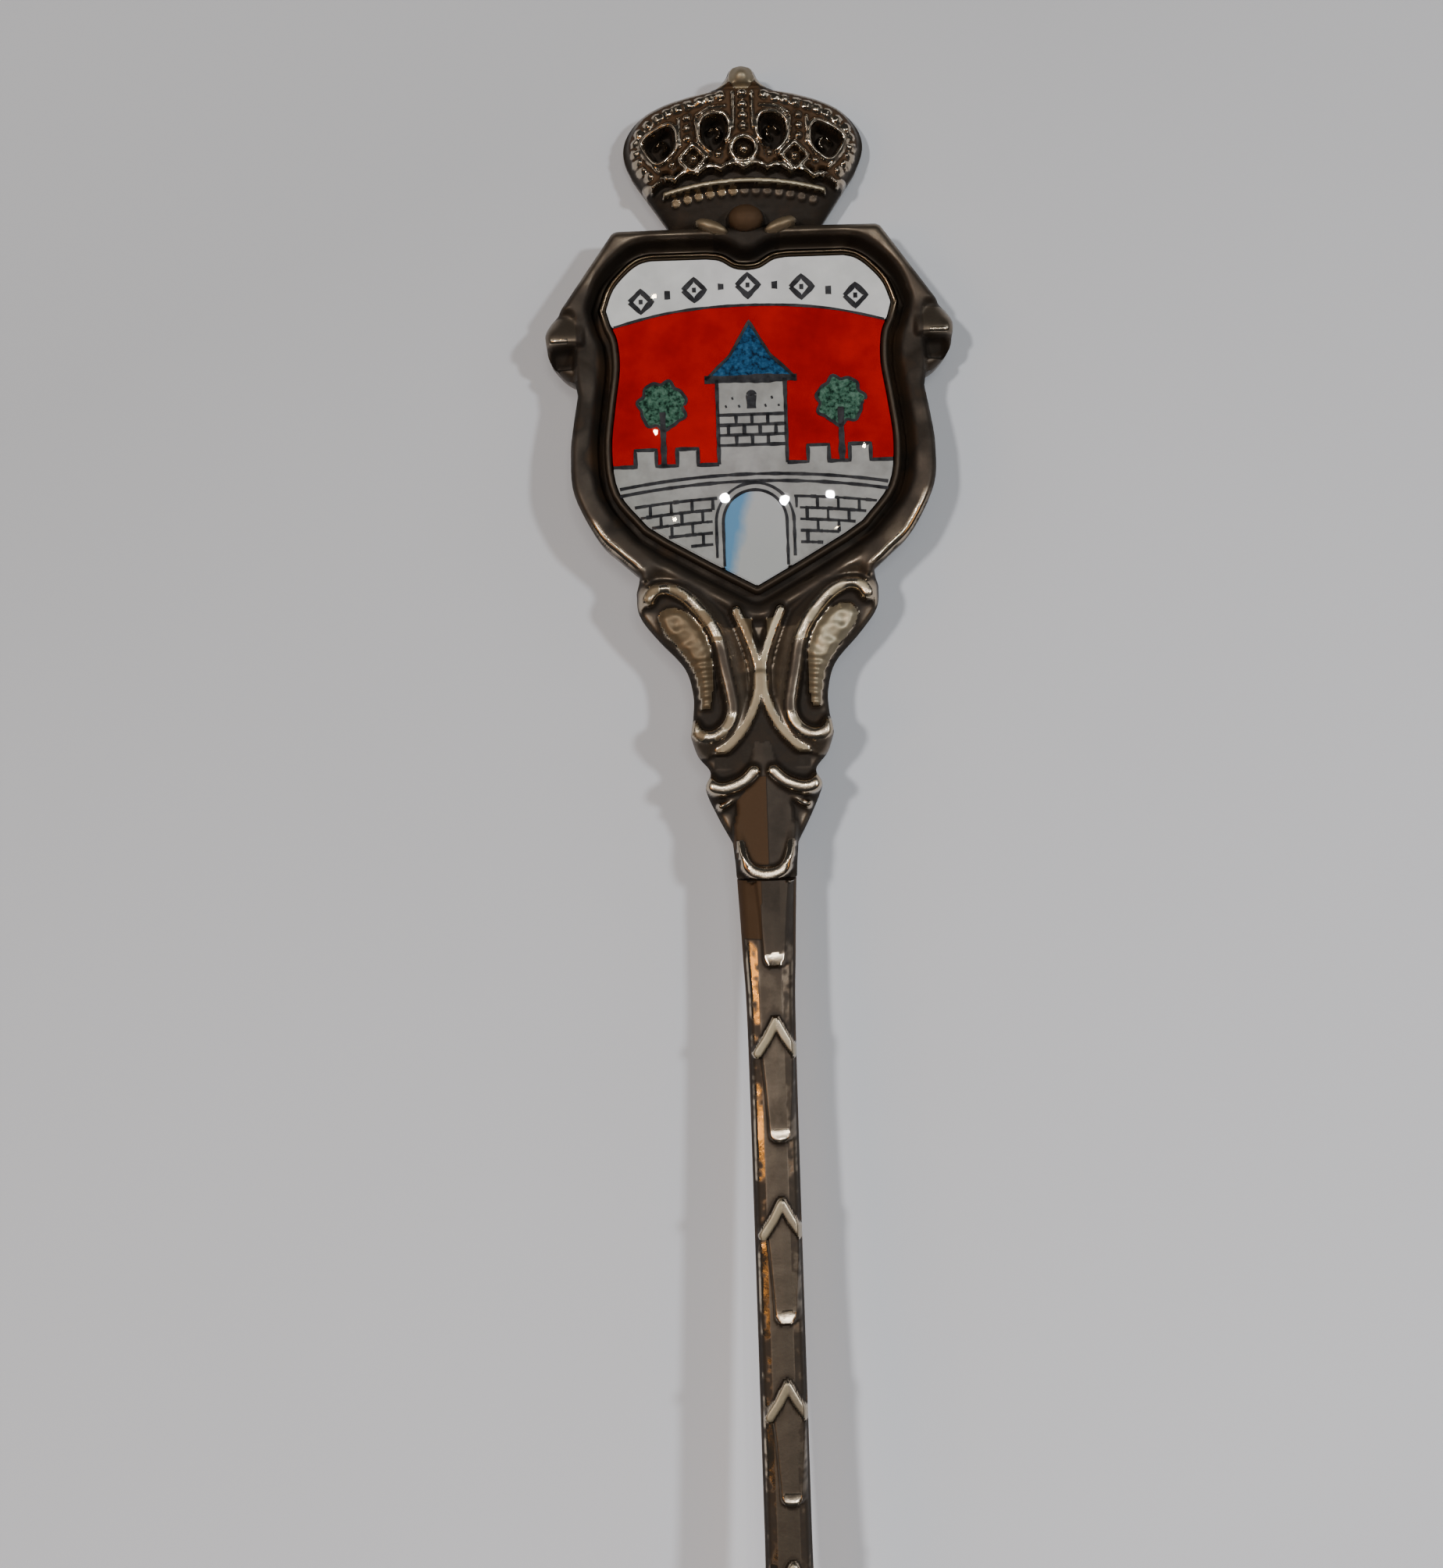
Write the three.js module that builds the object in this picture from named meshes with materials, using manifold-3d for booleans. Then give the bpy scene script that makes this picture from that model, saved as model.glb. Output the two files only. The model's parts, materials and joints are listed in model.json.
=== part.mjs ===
// Souvenir spoon with a crowned shield finial.  Millimetres, +Z up.
//
// The spoon lies face up on a table: the crown is at +Y, the bowl at -Y, and the origin is the
// centre of the bottom of its bounding box.  It rests on the underside of the bowl and on the
// shoulders of the crown.  The finial is drawn in a plane of its own, "finial coordinates":
// x across, y towards the crown and z out of the front, with zero at the lower point of the
// shield on the flat back.  That plane is tilted so that the stem climbs towards the bowl.

import * as THREE from 'three';
import { mergeVertices } from 'three/addons/utils/BufferGeometryUtils.js';
import Module from 'manifold-3d';

const wasm = await Module();
wasm.setup();

// ---- driving dimensions --------------------------------------------------------------------
const TILT = THREE.MathUtils.degToRad(4.5);   // finial plane against the table
const FINIAL_Y = 34.75;                       // shield point, along the spoon
const SHOULDER_Y = 22.9;                      // crown shoulders touch the table here
const FINIAL_Z = SHOULDER_Y * Math.sin(TILT); // height of the shield point's back

const FRAME_HEIGHT = 2.2;      // back of the frame to the crest of its rim
const PLATE_HEIGHT = 1.4;      // plain ground of the scroll bracket
const SCROLL_HEIGHT = 2.2;     // crest of the scroll bands
const LEAF_HEIGHT = 2.35;      // crest of the calyx leaf over the stem
const POCKET_FLOOR = 0.8;      // floor of the pocket that takes the badge
const GROOVE = 0.42;           // open groove between the badge and the frame
const BADGE_RIM = 0.35;        // width of the badge's own metal border
const GAP = 0.05;              // clearance between neighbouring pieces

const TRAY_BACK = 1.0;         // back of the badge tray
const TRAY_FLOOR = 1.2;        // floor that carries the enamel
const TRAY_TOP = 1.72;         // crest of the badge's metal border
const ENAMEL_TOP = 1.58;       // top of the coloured enamel
const DOME_EDGE = 1.75;        // edge of the clear flux
const DOME_TOP = 2.15;         // middle of the clear flux

const CROWN_BACK = 0;          // flat back of the crown
const CROWN_BODY = 2.2;        // front of the crown's lower band
const CROWN_FRONT = 3.0;       // most forward point of the arches
const CROWN_RADIUS = 9.5;      // the crown's front is part of an upright cylinder
const WINDOW_FLOOR = 1.7;      // floor of the openings between the arches

const STEM_BACK = 0.1;         // stem, in finial coordinates
const STEM_FRONT = 1.7;
const STEM_HALF = 1.1;         // half the width of the plain stem
const STEM_TOP_HALF = 1.37;    // half the width where the stem meets the casting
const TONGUE_FRONT = 1.95;     // crest of the raised tongues on the stem
const MOTIF_PITCH = 8.23;      // chevron to chevron along the stem
const MOTIF_COUNT = 4;
const FIRST_CHEVRON = -19.0;

const TOTAL_LENGTH = 118;
const BOWL_LENGTH = 38;
const BOWL_WIDTH = 24;
const BOWL_DEPTH = 6.6;        // outside, rim to underside
const BOWL_WALL = 1.0;
const BOWL_EGG = 0.13;         // how much wider the bowl is at the stem than at the tip
const BOWL_Y = BOWL_LENGTH / 2 - TOTAL_LENGTH / 2;

// ---- helpers -------------------------------------------------------------------------------
const vec = ([x, y]) => new THREE.Vector2(x, y);

// A closed solid for cutting and joining.
function solid(geometry) {
  const bare = geometry.index ? geometry.toNonIndexed() : geometry.clone();
  bare.deleteAttribute('normal');
  bare.deleteAttribute('uv');
  const merged = mergeVertices(bare, 1e-4);
  return new wasm.Manifold(new wasm.Mesh({
    numProp: 3,
    vertProperties: new Float32Array(merged.attributes.position.array),
    triVerts: new Uint32Array(merged.index.array),
  }));
}

function geometryOf(body) {
  const mesh = body.getMesh();
  const geometry = new THREE.BufferGeometry();
  geometry.setAttribute('position', new THREE.BufferAttribute(mesh.vertProperties, 3));
  geometry.setIndex(new THREE.BufferAttribute(mesh.triVerts, 1));
  geometry.computeVertexNormals();
  return geometry;
}

// Points of a smooth run through the given ones.
function smooth(points, steps) {
  return new THREE.SplineCurve(points.map(vec)).getPoints(steps);
}

// The right half of an outline, listed from its top to its bottom, and its mirror image.
function mirrored(right) {
  const left = right.filter((p) => p.x > 1e-6).map((p) => new THREE.Vector2(-p.x, p.y));
  return [...right, ...left.reverse()];
}

// Every point of an outline moved out by a distance, or in by a negative one.
function offset(points, distance) {
  const turn = THREE.ShapeUtils.isClockWise(points) ? -1 : 1;
  return points.map((point, i) => {
    const before = points[(i + points.length - 1) % points.length];
    const after = points[(i + 1) % points.length];
    const a = point.clone().sub(before).normalize();
    const b = after.clone().sub(point).normalize();
    const normal = new THREE.Vector2((a.y + b.y) * turn, -(a.x + b.x) * turn);
    const miter = distance / (1 + a.dot(b));
    return point.clone().addScaledVector(normal, miter);
  });
}

// A flat plate with the given outline, from one height to another.
function slab(points, low, high) {
  const settings = { depth: high - low, bevelEnabled: false, curveSegments: 12 };
  const geometry = new THREE.ExtrudeGeometry(new THREE.Shape(points), settings);
  return solid(geometry.translate(0, 0, low));
}

// A ball squeezed to three half-sizes.
function ball(centre, half) {
  const geometry = new THREE.SphereGeometry(1, 16, 10);
  geometry.scale(...half);
  return solid(geometry.translate(...centre));
}

function disc(x, y, radius, steps = 24) {
  return new THREE.Path().absarc(x, y, radius, 0, 2 * Math.PI).getPoints(steps).slice(0, -1);
}

function piece(name, body, colour, roughness, metalness) {
  const material = new THREE.MeshStandardMaterial({ color: colour, roughness, metalness });
  const mesh = new THREE.Mesh(geometryOf(body), material);
  mesh.name = name;
  return mesh;
}

const silver = (name, body) => piece(name, body, 0x8c8273, 0.42, 1.0);
const enamel = (name, body, colour) => piece(name, body, colour, 0.18, 0.0);

// ---- outlines in finial coordinates --------------------------------------------------------
const FRAME_TOP = 16.9;
const LAP_END = -12.6;         // square end of the casting, where the stem's shoulders begin

// Shield frame, ears, scroll heads, bracket and leaf calyx: one casting.
const frameOutline = mirrored([
  ...[[0, FRAME_TOP], [5.95, FRAME_TOP], [8.4, 13.2]].map(vec),
  ...smooth([[8.85, 12.9], [9.25, 12.1], [9.1, 11.1], [8.45, 10.5], [7.85, 10.1]], 10),
  ...smooth([[7.85, 9.5], [8.15, 8], [8.3, 6.8], [8.2, 5], [7.1, 3], [5.3, 1.2]], 14),
  ...smooth([[5.5, 0.4], [5.4, -0.5], [4.5, -1.6], [3.35, -2.9], [3.05, -4.2], [3.1, -5.3]], 12),
  ...smooth([[3.2, -6.2], [2.9, -7.0], [2.35, -7.8], [2.65, -8.5], [2.1, -9.8], [1.5, -11]], 14),
  ...[[STEM_TOP_HALF, LAP_END], [0, LAP_END]].map(vec),
]);

// The coloured picture, with its shallow notch at the top and its point at the bottom.
const pictureOutline = mirrored([
  ...smooth([[0, 15.05], [0.6, 15.15], [1.2, 15.5], [1.8, 15.6]], 5),
  vec([4.5, 15.6]),
  ...smooth([[4.9, 15.45], [5.5, 15.0], [6.15, 14.3], [6.5, 13.4]], 5),
  ...smooth([[6.3, 12.7], [6, 12], [5.95, 10.7], [6.2, 9], [6.45, 7], [6.15, 5.1], [4.9, 3.5]], 14),
  ...[[4, 2.9], [2, 1.7], [0, 0.65]].map(vec),
]);
const badgeOutline = offset(pictureOutline, BADGE_RIM);
const pocketOutline = offset(badgeOutline, GROOVE);

// Smooth outer band of one scroll: its crest runs from the head down to the curled foot.
const scrollBand = [
  ...smooth([[3.2, 0.2], [4.2, 1.0], [5.1, 0.8], [5.3, 0.0], [4.7, -0.5]], 10),
  ...smooth([[4.0, -0.6], [2.9, -1.4], [2.3, -2.8], [2.2, -4.4], [2.5, -5.3]], 10),
  ...smooth([[3.05, -5.6], [2.9, -6.4], [2.1, -6.6], [1.2, -5.7], [0.9, -4.4]], 10),
  ...smooth([[1.1, -3.2], [1.5, -2.0], [2.2, -0.7]], 5),
];

// The long leaf of the calyx, which lies over the top of the stem.
const leafOutline = mirrored([
  ...smooth([[0, -5.9], [0.5, -7.0], [1.1, -8.3], [1.4, -9.5], [1.15, -10.7], [0.8, -11.8]], 12),
  ...smooth([[0.45, -12.35], [0, -12.5]], 3),
]);

// A short side leaf of the calyx.
const sideLeaf = smooth([[0.9, -7.2], [1.9, -7.4], [2.35, -8.1], [2.3, -8.8], [1.5, -9.0]], 10);

// Crown: ball on top, round shoulders, straight flanks down to the base.
const CROWN_BASE = FRAME_TOP + GAP;
const crownOutline = mirrored([
  ...smooth([[0, 24.2], [0.5, 24.05], [0.75, 23.6], [0.95, 23.2]], 6),
  ...smooth([[2, 23.0], [3.5, 22.75], [4.6, 22.3], [5.3, 21.5], [5.5, 20.7], [5.0, 19.5]], 14),
  vec([3.3, CROWN_BASE]),
]);

// ---- metal pieces of the finial ------------------------------------------------------------

// Slot in the back of the casting that takes the flat tang of the stem.
const TANG_TOP = -8;
const SHOULDER_BOTTOM = LAP_END - GAP;
const TANG_FRONT = 0.9;
const TANG_HALF = 0.8;

function tangOutline(grow) {
  const half = TANG_HALF + grow;
  return [[-half, TANG_TOP + grow], [-half, -14], [half, -14], [half, TANG_TOP + grow]].map(vec);
}

function finialFrame() {
  const mirrorX = (points) => points.map((p) => new THREE.Vector2(-p.x, p.y));
  let body = slab(frameOutline, 0, PLATE_HEIGHT);
  const rim = offset(frameOutline, -0.12).filter((p) => p.y > -0.6);
  body = body.add(slab([...rim], 0, FRAME_HEIGHT));
  body = body.add(slab(scrollBand, 0, SCROLL_HEIGHT));
  body = body.add(slab(mirrorX(scrollBand), 0, SCROLL_HEIGHT));
  body = body.add(slab(leafOutline, 0, LEAF_HEIGHT));
  body = body.add(slab(sideLeaf, 0, SCROLL_HEIGHT - 0.2));
  body = body.add(slab(mirrorX(sideLeaf), 0, SCROLL_HEIGHT - 0.2));
  body = body.subtract(slab(pocketOutline, POCKET_FLOOR, FRAME_HEIGHT + 1));
  body = body.subtract(slab(tangOutline(GAP), -1, TANG_FRONT + GAP));
  return silver('finial_frame', body);
}

function windowOutline(x, y, half, height, lean) {
  const low = y - height / 2;
  const arch = [[half, low + height * 0.55], [half * 0.6, low + height * 0.95], [0, low + height]];
  const right = [vec([half * 0.75, low]), ...smooth(arch, 4)];
  const left = right.map((p) => new THREE.Vector2(-p.x, p.y)).reverse().slice(1);
  return [...right, ...left].map((p) => new THREE.Vector2(x + p.x + lean * (p.y - low), p.y));
}

function crown() {
  const arches = crownOutline.filter((p) => p.y > 19);
  const lowerEdge = smooth([[-4.85, 19.2], [-2.4, 19.05], [0, 19.0], [2.4, 19.05], [4.85, 19.2]], 8);
  const band = [[-3.7, 18.3], [-3.8, 18.6], [0, 18.9], [3.8, 18.6], [3.7, 18.3], [0, 18.6]].map(vec);
  let body = slab(crownOutline, CROWN_BACK, CROWN_BODY);
  const front = [...arches.filter((p) => p.x >= 0), ...lowerEdge.slice().reverse(),
    ...arches.filter((p) => p.x < 0)];
  body = body.add(slab(offset(front, -0.08), CROWN_BACK + 0.1, CROWN_FRONT + 0.5));
  body = body.add(slab(band, CROWN_BACK + 0.1, CROWN_BODY + 0.3));
  for (const side of [-1, 1]) {
    const inner = windowOutline(1.3 * side, 21.45, 0.6, 1.5, 0.05 * side);
    const outer = windowOutline(3.6 * side, 21.15, 0.65, 1.4, 0.15 * side);
    body = body.subtract(slab(inner, WINDOW_FLOOR, CROWN_FRONT + 1));
    body = body.subtract(slab(outer, WINDOW_FLOOR - 0.4, CROWN_FRONT + 1));
  }
  const barrel = new THREE.CylinderGeometry(CROWN_RADIUS, CROWN_RADIUS, 20, 96);
  body = body.intersect(solid(barrel.translate(0, 20, CROWN_FRONT - CROWN_RADIUS)));
  body = body.add(ball([0, 23.5, 1.6], [0.7, 0.7, 0.9]));
  body = body.add(ball([0, 17.55, 2.3], [0.75, 0.55, 0.5]));
  body = body.add(ball([1.5, 17.3, 2.2], [0.75, 0.32, 0.35]));
  body = body.add(ball([-1.5, 17.3, 2.2], [0.75, 0.32, 0.35]));
  return silver('crown', body);
}

// ---- the badge -----------------------------------------------------------------------------

function cementBed() {
  const body = slab(offset(pictureOutline, -0.2), POCKET_FLOOR + GAP / 2, TRAY_BACK - GAP / 2);
  return piece('cement_bed', body, 0xb9ae8c, 0.7, 0.0);
}

function badgeTray() {
  let body = slab(badgeOutline, TRAY_BACK, TRAY_TOP);
  body = body.subtract(slab(pictureOutline, TRAY_FLOOR, TRAY_TOP + 1));
  return silver('badge_tray', body);
}

// Layout of the picture: banner, sky, castle wall with one keep, two trees and a gate.
const BANNER_EDGE = smooth([[-7.2, 12.35], [-3.6, 13.2], [0, 13.45], [3.6, 13.2], [7.2, 12.35]], 14);
const WALL_TOP = 7.0;
const MERLON = 0.95;           // width of a merlon and of the gap beside it
const MERLON_HEIGHT = 0.75;
const KEEP_HALF = 1.55;
const KEEP_TOP = 10.1;
const ROOF_HALF = 2.0;
const ROOF_TIP = 12.7;
const TREE_X = 4.05;
const TREE_Y = 9.0;
const TREE_RADIUS = 1.15;
const GATE_HALF = 1.45;
const GATE_SPRING = 3.6;       // where the gate's round head starts

const bannerZone = [...BANNER_EDGE, vec([8, 18]), vec([-8, 18])];
const roofZone = [[-ROOF_HALF, KEEP_TOP], [ROOF_HALF, KEEP_TOP], [0, ROOF_TIP]].map(vec);

function castleZone() {
  const points = [vec([-8, -2]), vec([8, -2]), vec([8, WALL_TOP - MERLON_HEIGHT])];
  for (let k = 2; k >= 1; k -= 1) {
    const right = KEEP_HALF + 2 * k * MERLON;
    const left = right - MERLON;
    points.push(vec([right, WALL_TOP - MERLON_HEIGHT]), vec([right, WALL_TOP]));
    points.push(vec([left, WALL_TOP]), vec([left, WALL_TOP - MERLON_HEIGHT]));
  }
  points.push(vec([KEEP_HALF, WALL_TOP - MERLON_HEIGHT]), vec([KEEP_HALF, KEEP_TOP]));
  const left = points.slice(2).map((p) => new THREE.Vector2(-p.x, p.y)).reverse();
  return [...points, ...left];
}

function gateZone() {
  const head = new THREE.Path().absarc(0, GATE_SPRING, GATE_HALF, 0, Math.PI).getPoints(12);
  return [vec([GATE_HALF, -2]), ...head, vec([-GATE_HALF, -2])];
}

const treeZone = (side) => disc(side * TREE_X, TREE_Y, TREE_RADIUS, 20);

const ENAMEL_FLOOR = TRAY_FLOOR + GAP / 2;
const tile = (points) => slab(points, ENAMEL_FLOOR, ENAMEL_TOP);
const hole = (points) => slab(offset(points, GAP), ENAMEL_FLOOR - 1, ENAMEL_TOP + 1);
const picture = () => tile(offset(pictureOutline, -GAP));

function enamels() {
  const trees = [treeZone(-1), treeZone(1)];
  const whole = picture();
  let sky = whole.subtract(hole(bannerZone)).subtract(hole(castleZone())).subtract(hole(roofZone));
  for (const tree of trees) sky = sky.subtract(hole(tree));
  const castle = whole.intersect(tile(castleZone())).subtract(hole(gateZone()));
  return [
    enamel('enamel_banner', whole.intersect(tile(bannerZone)), 0xe8e6e0),
    enamel('enamel_sky', sky, 0xc3100a),
    enamel('enamel_castle', castle, 0xe8e6e0),
    enamel('enamel_gate', whole.intersect(tile(gateZone())), 0x8fb3cf),
    enamel('enamel_roof', tile(offset(roofZone, -GAP)), 0x2a5f93),
    enamel('enamel_tree_left', tile(trees[0]), 0x4f7a68),
    enamel('enamel_tree_right', tile(trees[1]), 0x4f7a68),
  ];
}

// Clear flux fused over the picture: flat underneath, a shallow dome on top.
function clearFlux() {
  const reach = 11;
  const radius = (reach * reach) / (2 * (DOME_TOP - DOME_EDGE + 0.15));
  const profile = [new THREE.Vector2(0, ENAMEL_TOP + GAP)];
  profile.push(new THREE.Vector2(reach, ENAMEL_TOP + GAP));
  for (let k = 0; k <= 10; k += 1) {
    const r = reach * (1 - k / 10);
    profile.push(new THREE.Vector2(r, DOME_TOP - (r * r) / (2 * radius) + 0.05));
  }
  const lens = new THREE.LatheGeometry(profile, 36).rotateX(Math.PI / 2).translate(0, 8, 0);
  const body = solid(lens).intersect(slab(offset(pictureOutline, -GAP), 0, 4));
  return piece('clear_flux', body, 0xf4f7f8, 0.05, 0.0);
}

// ---- spoon blank: stem and bowl in one -----------------------------------------------------

// A point of the finial's mid-plane as height against length on the table.
function onTable(y, z) {
  return new THREE.Vector2(
    FINIAL_Y + y * Math.cos(TILT) + z * Math.sin(TILT),
    FINIAL_Z - y * Math.sin(TILT) + z * Math.cos(TILT),
  );
}

const STRAIGHT_END = -44;      // the stem is straight down to here, then it arches to the bowl
const BOWL_NECK = BOWL_Y + BOWL_LENGTH / 2;

function stemSide() {
  const under = [onTable(STRAIGHT_END, STEM_BACK), vec([-14, 5.75]), vec([-18, 5.35]),
    vec([BOWL_NECK, 4.3]), vec([BOWL_NECK - 3, 3.35])];
  const over = [vec([BOWL_NECK - 3, 6.7]), vec([BOWL_NECK, 6.9]), vec([-18, 7.25]),
    vec([-14, 7.35]), onTable(STRAIGHT_END, STEM_FRONT)];
  return [
    onTable(TANG_TOP, STEM_BACK),
    ...new THREE.SplineCurve(under).getPoints(12),
    ...new THREE.SplineCurve(over).getPoints(12),
    onTable(SHOULDER_BOTTOM, STEM_FRONT),
    onTable(SHOULDER_BOTTOM, TANG_FRONT),
    onTable(TANG_TOP, TANG_FRONT),
  ];
}

function stemPlan() {
  const along = (y) => onTable(y, 0).x;
  const root = [[STEM_HALF, -9], [STEM_HALF + 0.1, -13], [1.7, -17.5], [2.7, BOWL_NECK], [4, -24]];
  return mirrored([
    vec([0, along(TANG_TOP) + 1]), vec([STEM_TOP_HALF, along(TANG_TOP) + 1]),
    vec([STEM_TOP_HALF, along(SHOULDER_BOTTOM)]), vec([1.25, along(-16)]),
    vec([STEM_HALF, along(-20)]), ...smooth(root, 10), vec([0, -24]),
  ]);
}

// Finial coordinates to the table's.
const TO_TABLE = new THREE.Matrix4().makeRotationX(-TILT).setPosition(0, FINIAL_Y, FINIAL_Z);

function onFinialPlane(points, low, high) {
  const settings = { depth: high - low, bevelEnabled: false };
  const geometry = new THREE.ExtrudeGeometry(new THREE.Shape(points), settings);
  return solid(geometry.translate(0, 0, low).applyMatrix4(TO_TABLE));
}

function stem() {
  const turned = new THREE.ExtrudeGeometry(new THREE.Shape(stemSide()),
    { depth: 10, bevelEnabled: false });
  turned.translate(0, 0, -5).applyMatrix4(new THREE.Matrix4().makeBasis(
    new THREE.Vector3(0, 1, 0), new THREE.Vector3(0, 0, 1), new THREE.Vector3(1, 0, 0)));
  let body = solid(turned).intersect(slab(stemPlan(), -2, 14));
  for (const side of [-1, 1]) {
    const corners = [[TANG_HALF, SHOULDER_BOTTOM], [3, SHOULDER_BOTTOM], [3, -5], [TANG_HALF, -5]];
    const shoulder = corners.map(([x, y]) => vec([side * x, y]));
    body = body.subtract(onFinialPlane(shoulder, -2, 5));
  }
  return body;
}

// The raised tongues: each starts at a chevron and ends in a round lip.
function tongues() {
  const chevron = [[0, 0], [0.9, -1.3], [0.8, -2.4], [0.7, -4.2]];
  const lip = smooth([[0.7, -4.4], [0.5, -5.0], [0, -5.25]], 4);
  const shapes = [];
  for (let k = 0; k < MOTIF_COUNT; k += 1) {
    const y = FIRST_CHEVRON - k * MOTIF_PITCH;
    if (y - 5.3 < STRAIGHT_END) break;
    const points = mirrored([...chevron.map(vec), ...lip]);
    shapes.push(points.map((p) => new THREE.Vector2(p.x, p.y + y)));
  }
  const first = mirrored([...[[0, -12.9], [0.85, -13.2], [0.7, -15.4]].map(vec),
    ...smooth([[0.5, -16.0], [0, -16.3]], 3)]);
  return [first, ...shapes].map((points) => onFinialPlane(points, 1, TONGUE_FRONT));
}

// A bowl surface: a turned profile stretched to the bowl's egg-shaped plan.
function bowlForm(profile) {
  const geometry = new THREE.LatheGeometry(profile.map(vec), 48).rotateX(Math.PI / 2);
  const position = geometry.attributes.position;
  for (let i = 0; i < position.count; i += 1) {
    const y = position.getY(i);
    const width = (BOWL_WIDTH / BOWL_LENGTH) * (1 + BOWL_EGG * (y / (BOWL_LENGTH / 2)));
    position.setX(i, position.getX(i) * width);
  }
  return solid(geometry.translate(0, BOWL_Y, BOWL_DEPTH));
}

function bowlArc(radius, depth) {
  const points = [];
  for (let k = 0; k <= 10; k += 1) {
    const angle = (k / 10) * (Math.PI / 2);
    points.push([k === 0 ? 0 : radius * Math.sin(angle), -depth * Math.cos(angle)]);
  }
  return points;
}

function spoonBlank() {
  const half = BOWL_LENGTH / 2;
  const outside = bowlForm([...bowlArc(half, BOWL_DEPTH), [0, 0]]);
  const hollow = bowlForm([...bowlArc(half - BOWL_WALL, BOWL_DEPTH - BOWL_WALL),
    [half - BOWL_WALL, 3], [0, 3]]);
  let body = stem();
  for (const tongue of tongues()) body = body.add(tongue);
  body = body.add(outside).subtract(hollow);
  return silver('spoon_blank', body);
}

// ---- the spoon -----------------------------------------------------------------------------
const finial = new THREE.Group();
finial.rotation.x = -TILT;
finial.position.set(0, FINIAL_Y, FINIAL_Z);
finial.add(finialFrame(), crown(), cementBed(), badgeTray(), ...enamels(), clearFlux());

const spoon = new THREE.Group();
spoon.add(spoonBlank(), finial);

// Put the origin exactly at the centre of the bottom of the box.
const box = new THREE.Box3().setFromObject(spoon, true);
const centre = box.getCenter(new THREE.Vector3());
spoon.position.set(-centre.x, -centre.y, -box.min.z);
spoon.updateMatrixWorld(true);

export default spoon;
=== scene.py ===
# Looks of the souvenir spoon: relief castings, enamel badge, materials, camera and light.
import json
import math

import bpy
import numpy as np
from mathutils import Matrix, Vector


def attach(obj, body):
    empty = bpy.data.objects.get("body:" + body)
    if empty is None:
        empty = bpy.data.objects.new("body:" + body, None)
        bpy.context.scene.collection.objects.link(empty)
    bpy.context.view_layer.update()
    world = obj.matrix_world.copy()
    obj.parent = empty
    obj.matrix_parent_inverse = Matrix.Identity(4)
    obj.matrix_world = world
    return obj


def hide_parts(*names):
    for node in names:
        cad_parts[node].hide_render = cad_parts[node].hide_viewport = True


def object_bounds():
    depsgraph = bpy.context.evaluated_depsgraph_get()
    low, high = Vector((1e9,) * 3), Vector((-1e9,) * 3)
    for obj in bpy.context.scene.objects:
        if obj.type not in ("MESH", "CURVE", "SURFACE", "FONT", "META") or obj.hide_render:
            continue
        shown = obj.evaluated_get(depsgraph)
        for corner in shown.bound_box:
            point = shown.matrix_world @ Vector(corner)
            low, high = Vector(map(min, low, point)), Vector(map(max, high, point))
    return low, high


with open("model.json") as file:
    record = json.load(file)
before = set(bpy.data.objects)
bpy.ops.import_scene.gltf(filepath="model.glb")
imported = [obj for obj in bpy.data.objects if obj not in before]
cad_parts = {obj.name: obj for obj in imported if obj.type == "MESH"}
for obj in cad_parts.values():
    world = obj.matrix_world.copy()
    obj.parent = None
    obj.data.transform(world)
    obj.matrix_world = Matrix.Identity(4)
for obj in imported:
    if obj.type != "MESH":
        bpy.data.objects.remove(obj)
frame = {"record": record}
CAD_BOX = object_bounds()

# ---- places --------------------------------------------------------------------------------
# The finial is drawn in its own plane, in millimetres: x across, y towards the crown, z out of
# the front.  Zero is the lower point of the shield, on the flat back.  The record's mount is a
# point of that back, MOUNT_Y up from zero, and its axis points out of the back.
MM = 0.001
MOUNT_Y = 8.0
mount = frame["record"]["mounts"][0]
ACROSS = np.array([1.0, 0.0, 0.0])
FRONT = -np.array(mount["axis"])
ALONG = np.cross(FRONT, ACROSS)
ORIGIN = np.array(mount["pos_m"]) - MOUNT_Y * MM * ALONG


def place(points):
    """Finial millimetres to metres in the row frame."""
    p = np.asarray(points, float)
    return ORIGIN + MM * (p[:, :1] * ACROSS + p[:, 1:2] * ALONG + p[:, 2:3] * FRONT)


# ---- curves and distances ------------------------------------------------------------------
def smooth(points, steps=8):
    """A smooth run through the points, with a few steps from each to the next."""
    p = np.array(points, float)
    p = np.vstack([2 * p[0] - p[1], p, 2 * p[-1] - p[-2]])
    out = []
    for i in range(1, len(p) - 2):
        for k in range(steps):
            t = k / steps
            a = 2 * p[i]
            b = p[i + 1] - p[i - 1]
            c = 2 * p[i - 1] - 5 * p[i] + 4 * p[i + 1] - p[i + 2]
            d = -p[i - 1] + 3 * p[i] - 3 * p[i + 1] + p[i + 2]
            out.append(0.5 * (a + b * t + c * t * t + d * t ** 3))
    return np.vstack([out, p[-2]])


def mirrored(*runs):
    """A whole outline from its right half, listed from top to bottom."""
    right = np.vstack(runs)
    left = right[right[:, 0] > 1e-6] * [-1, 1]
    return np.vstack([right, left[::-1]])


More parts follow.
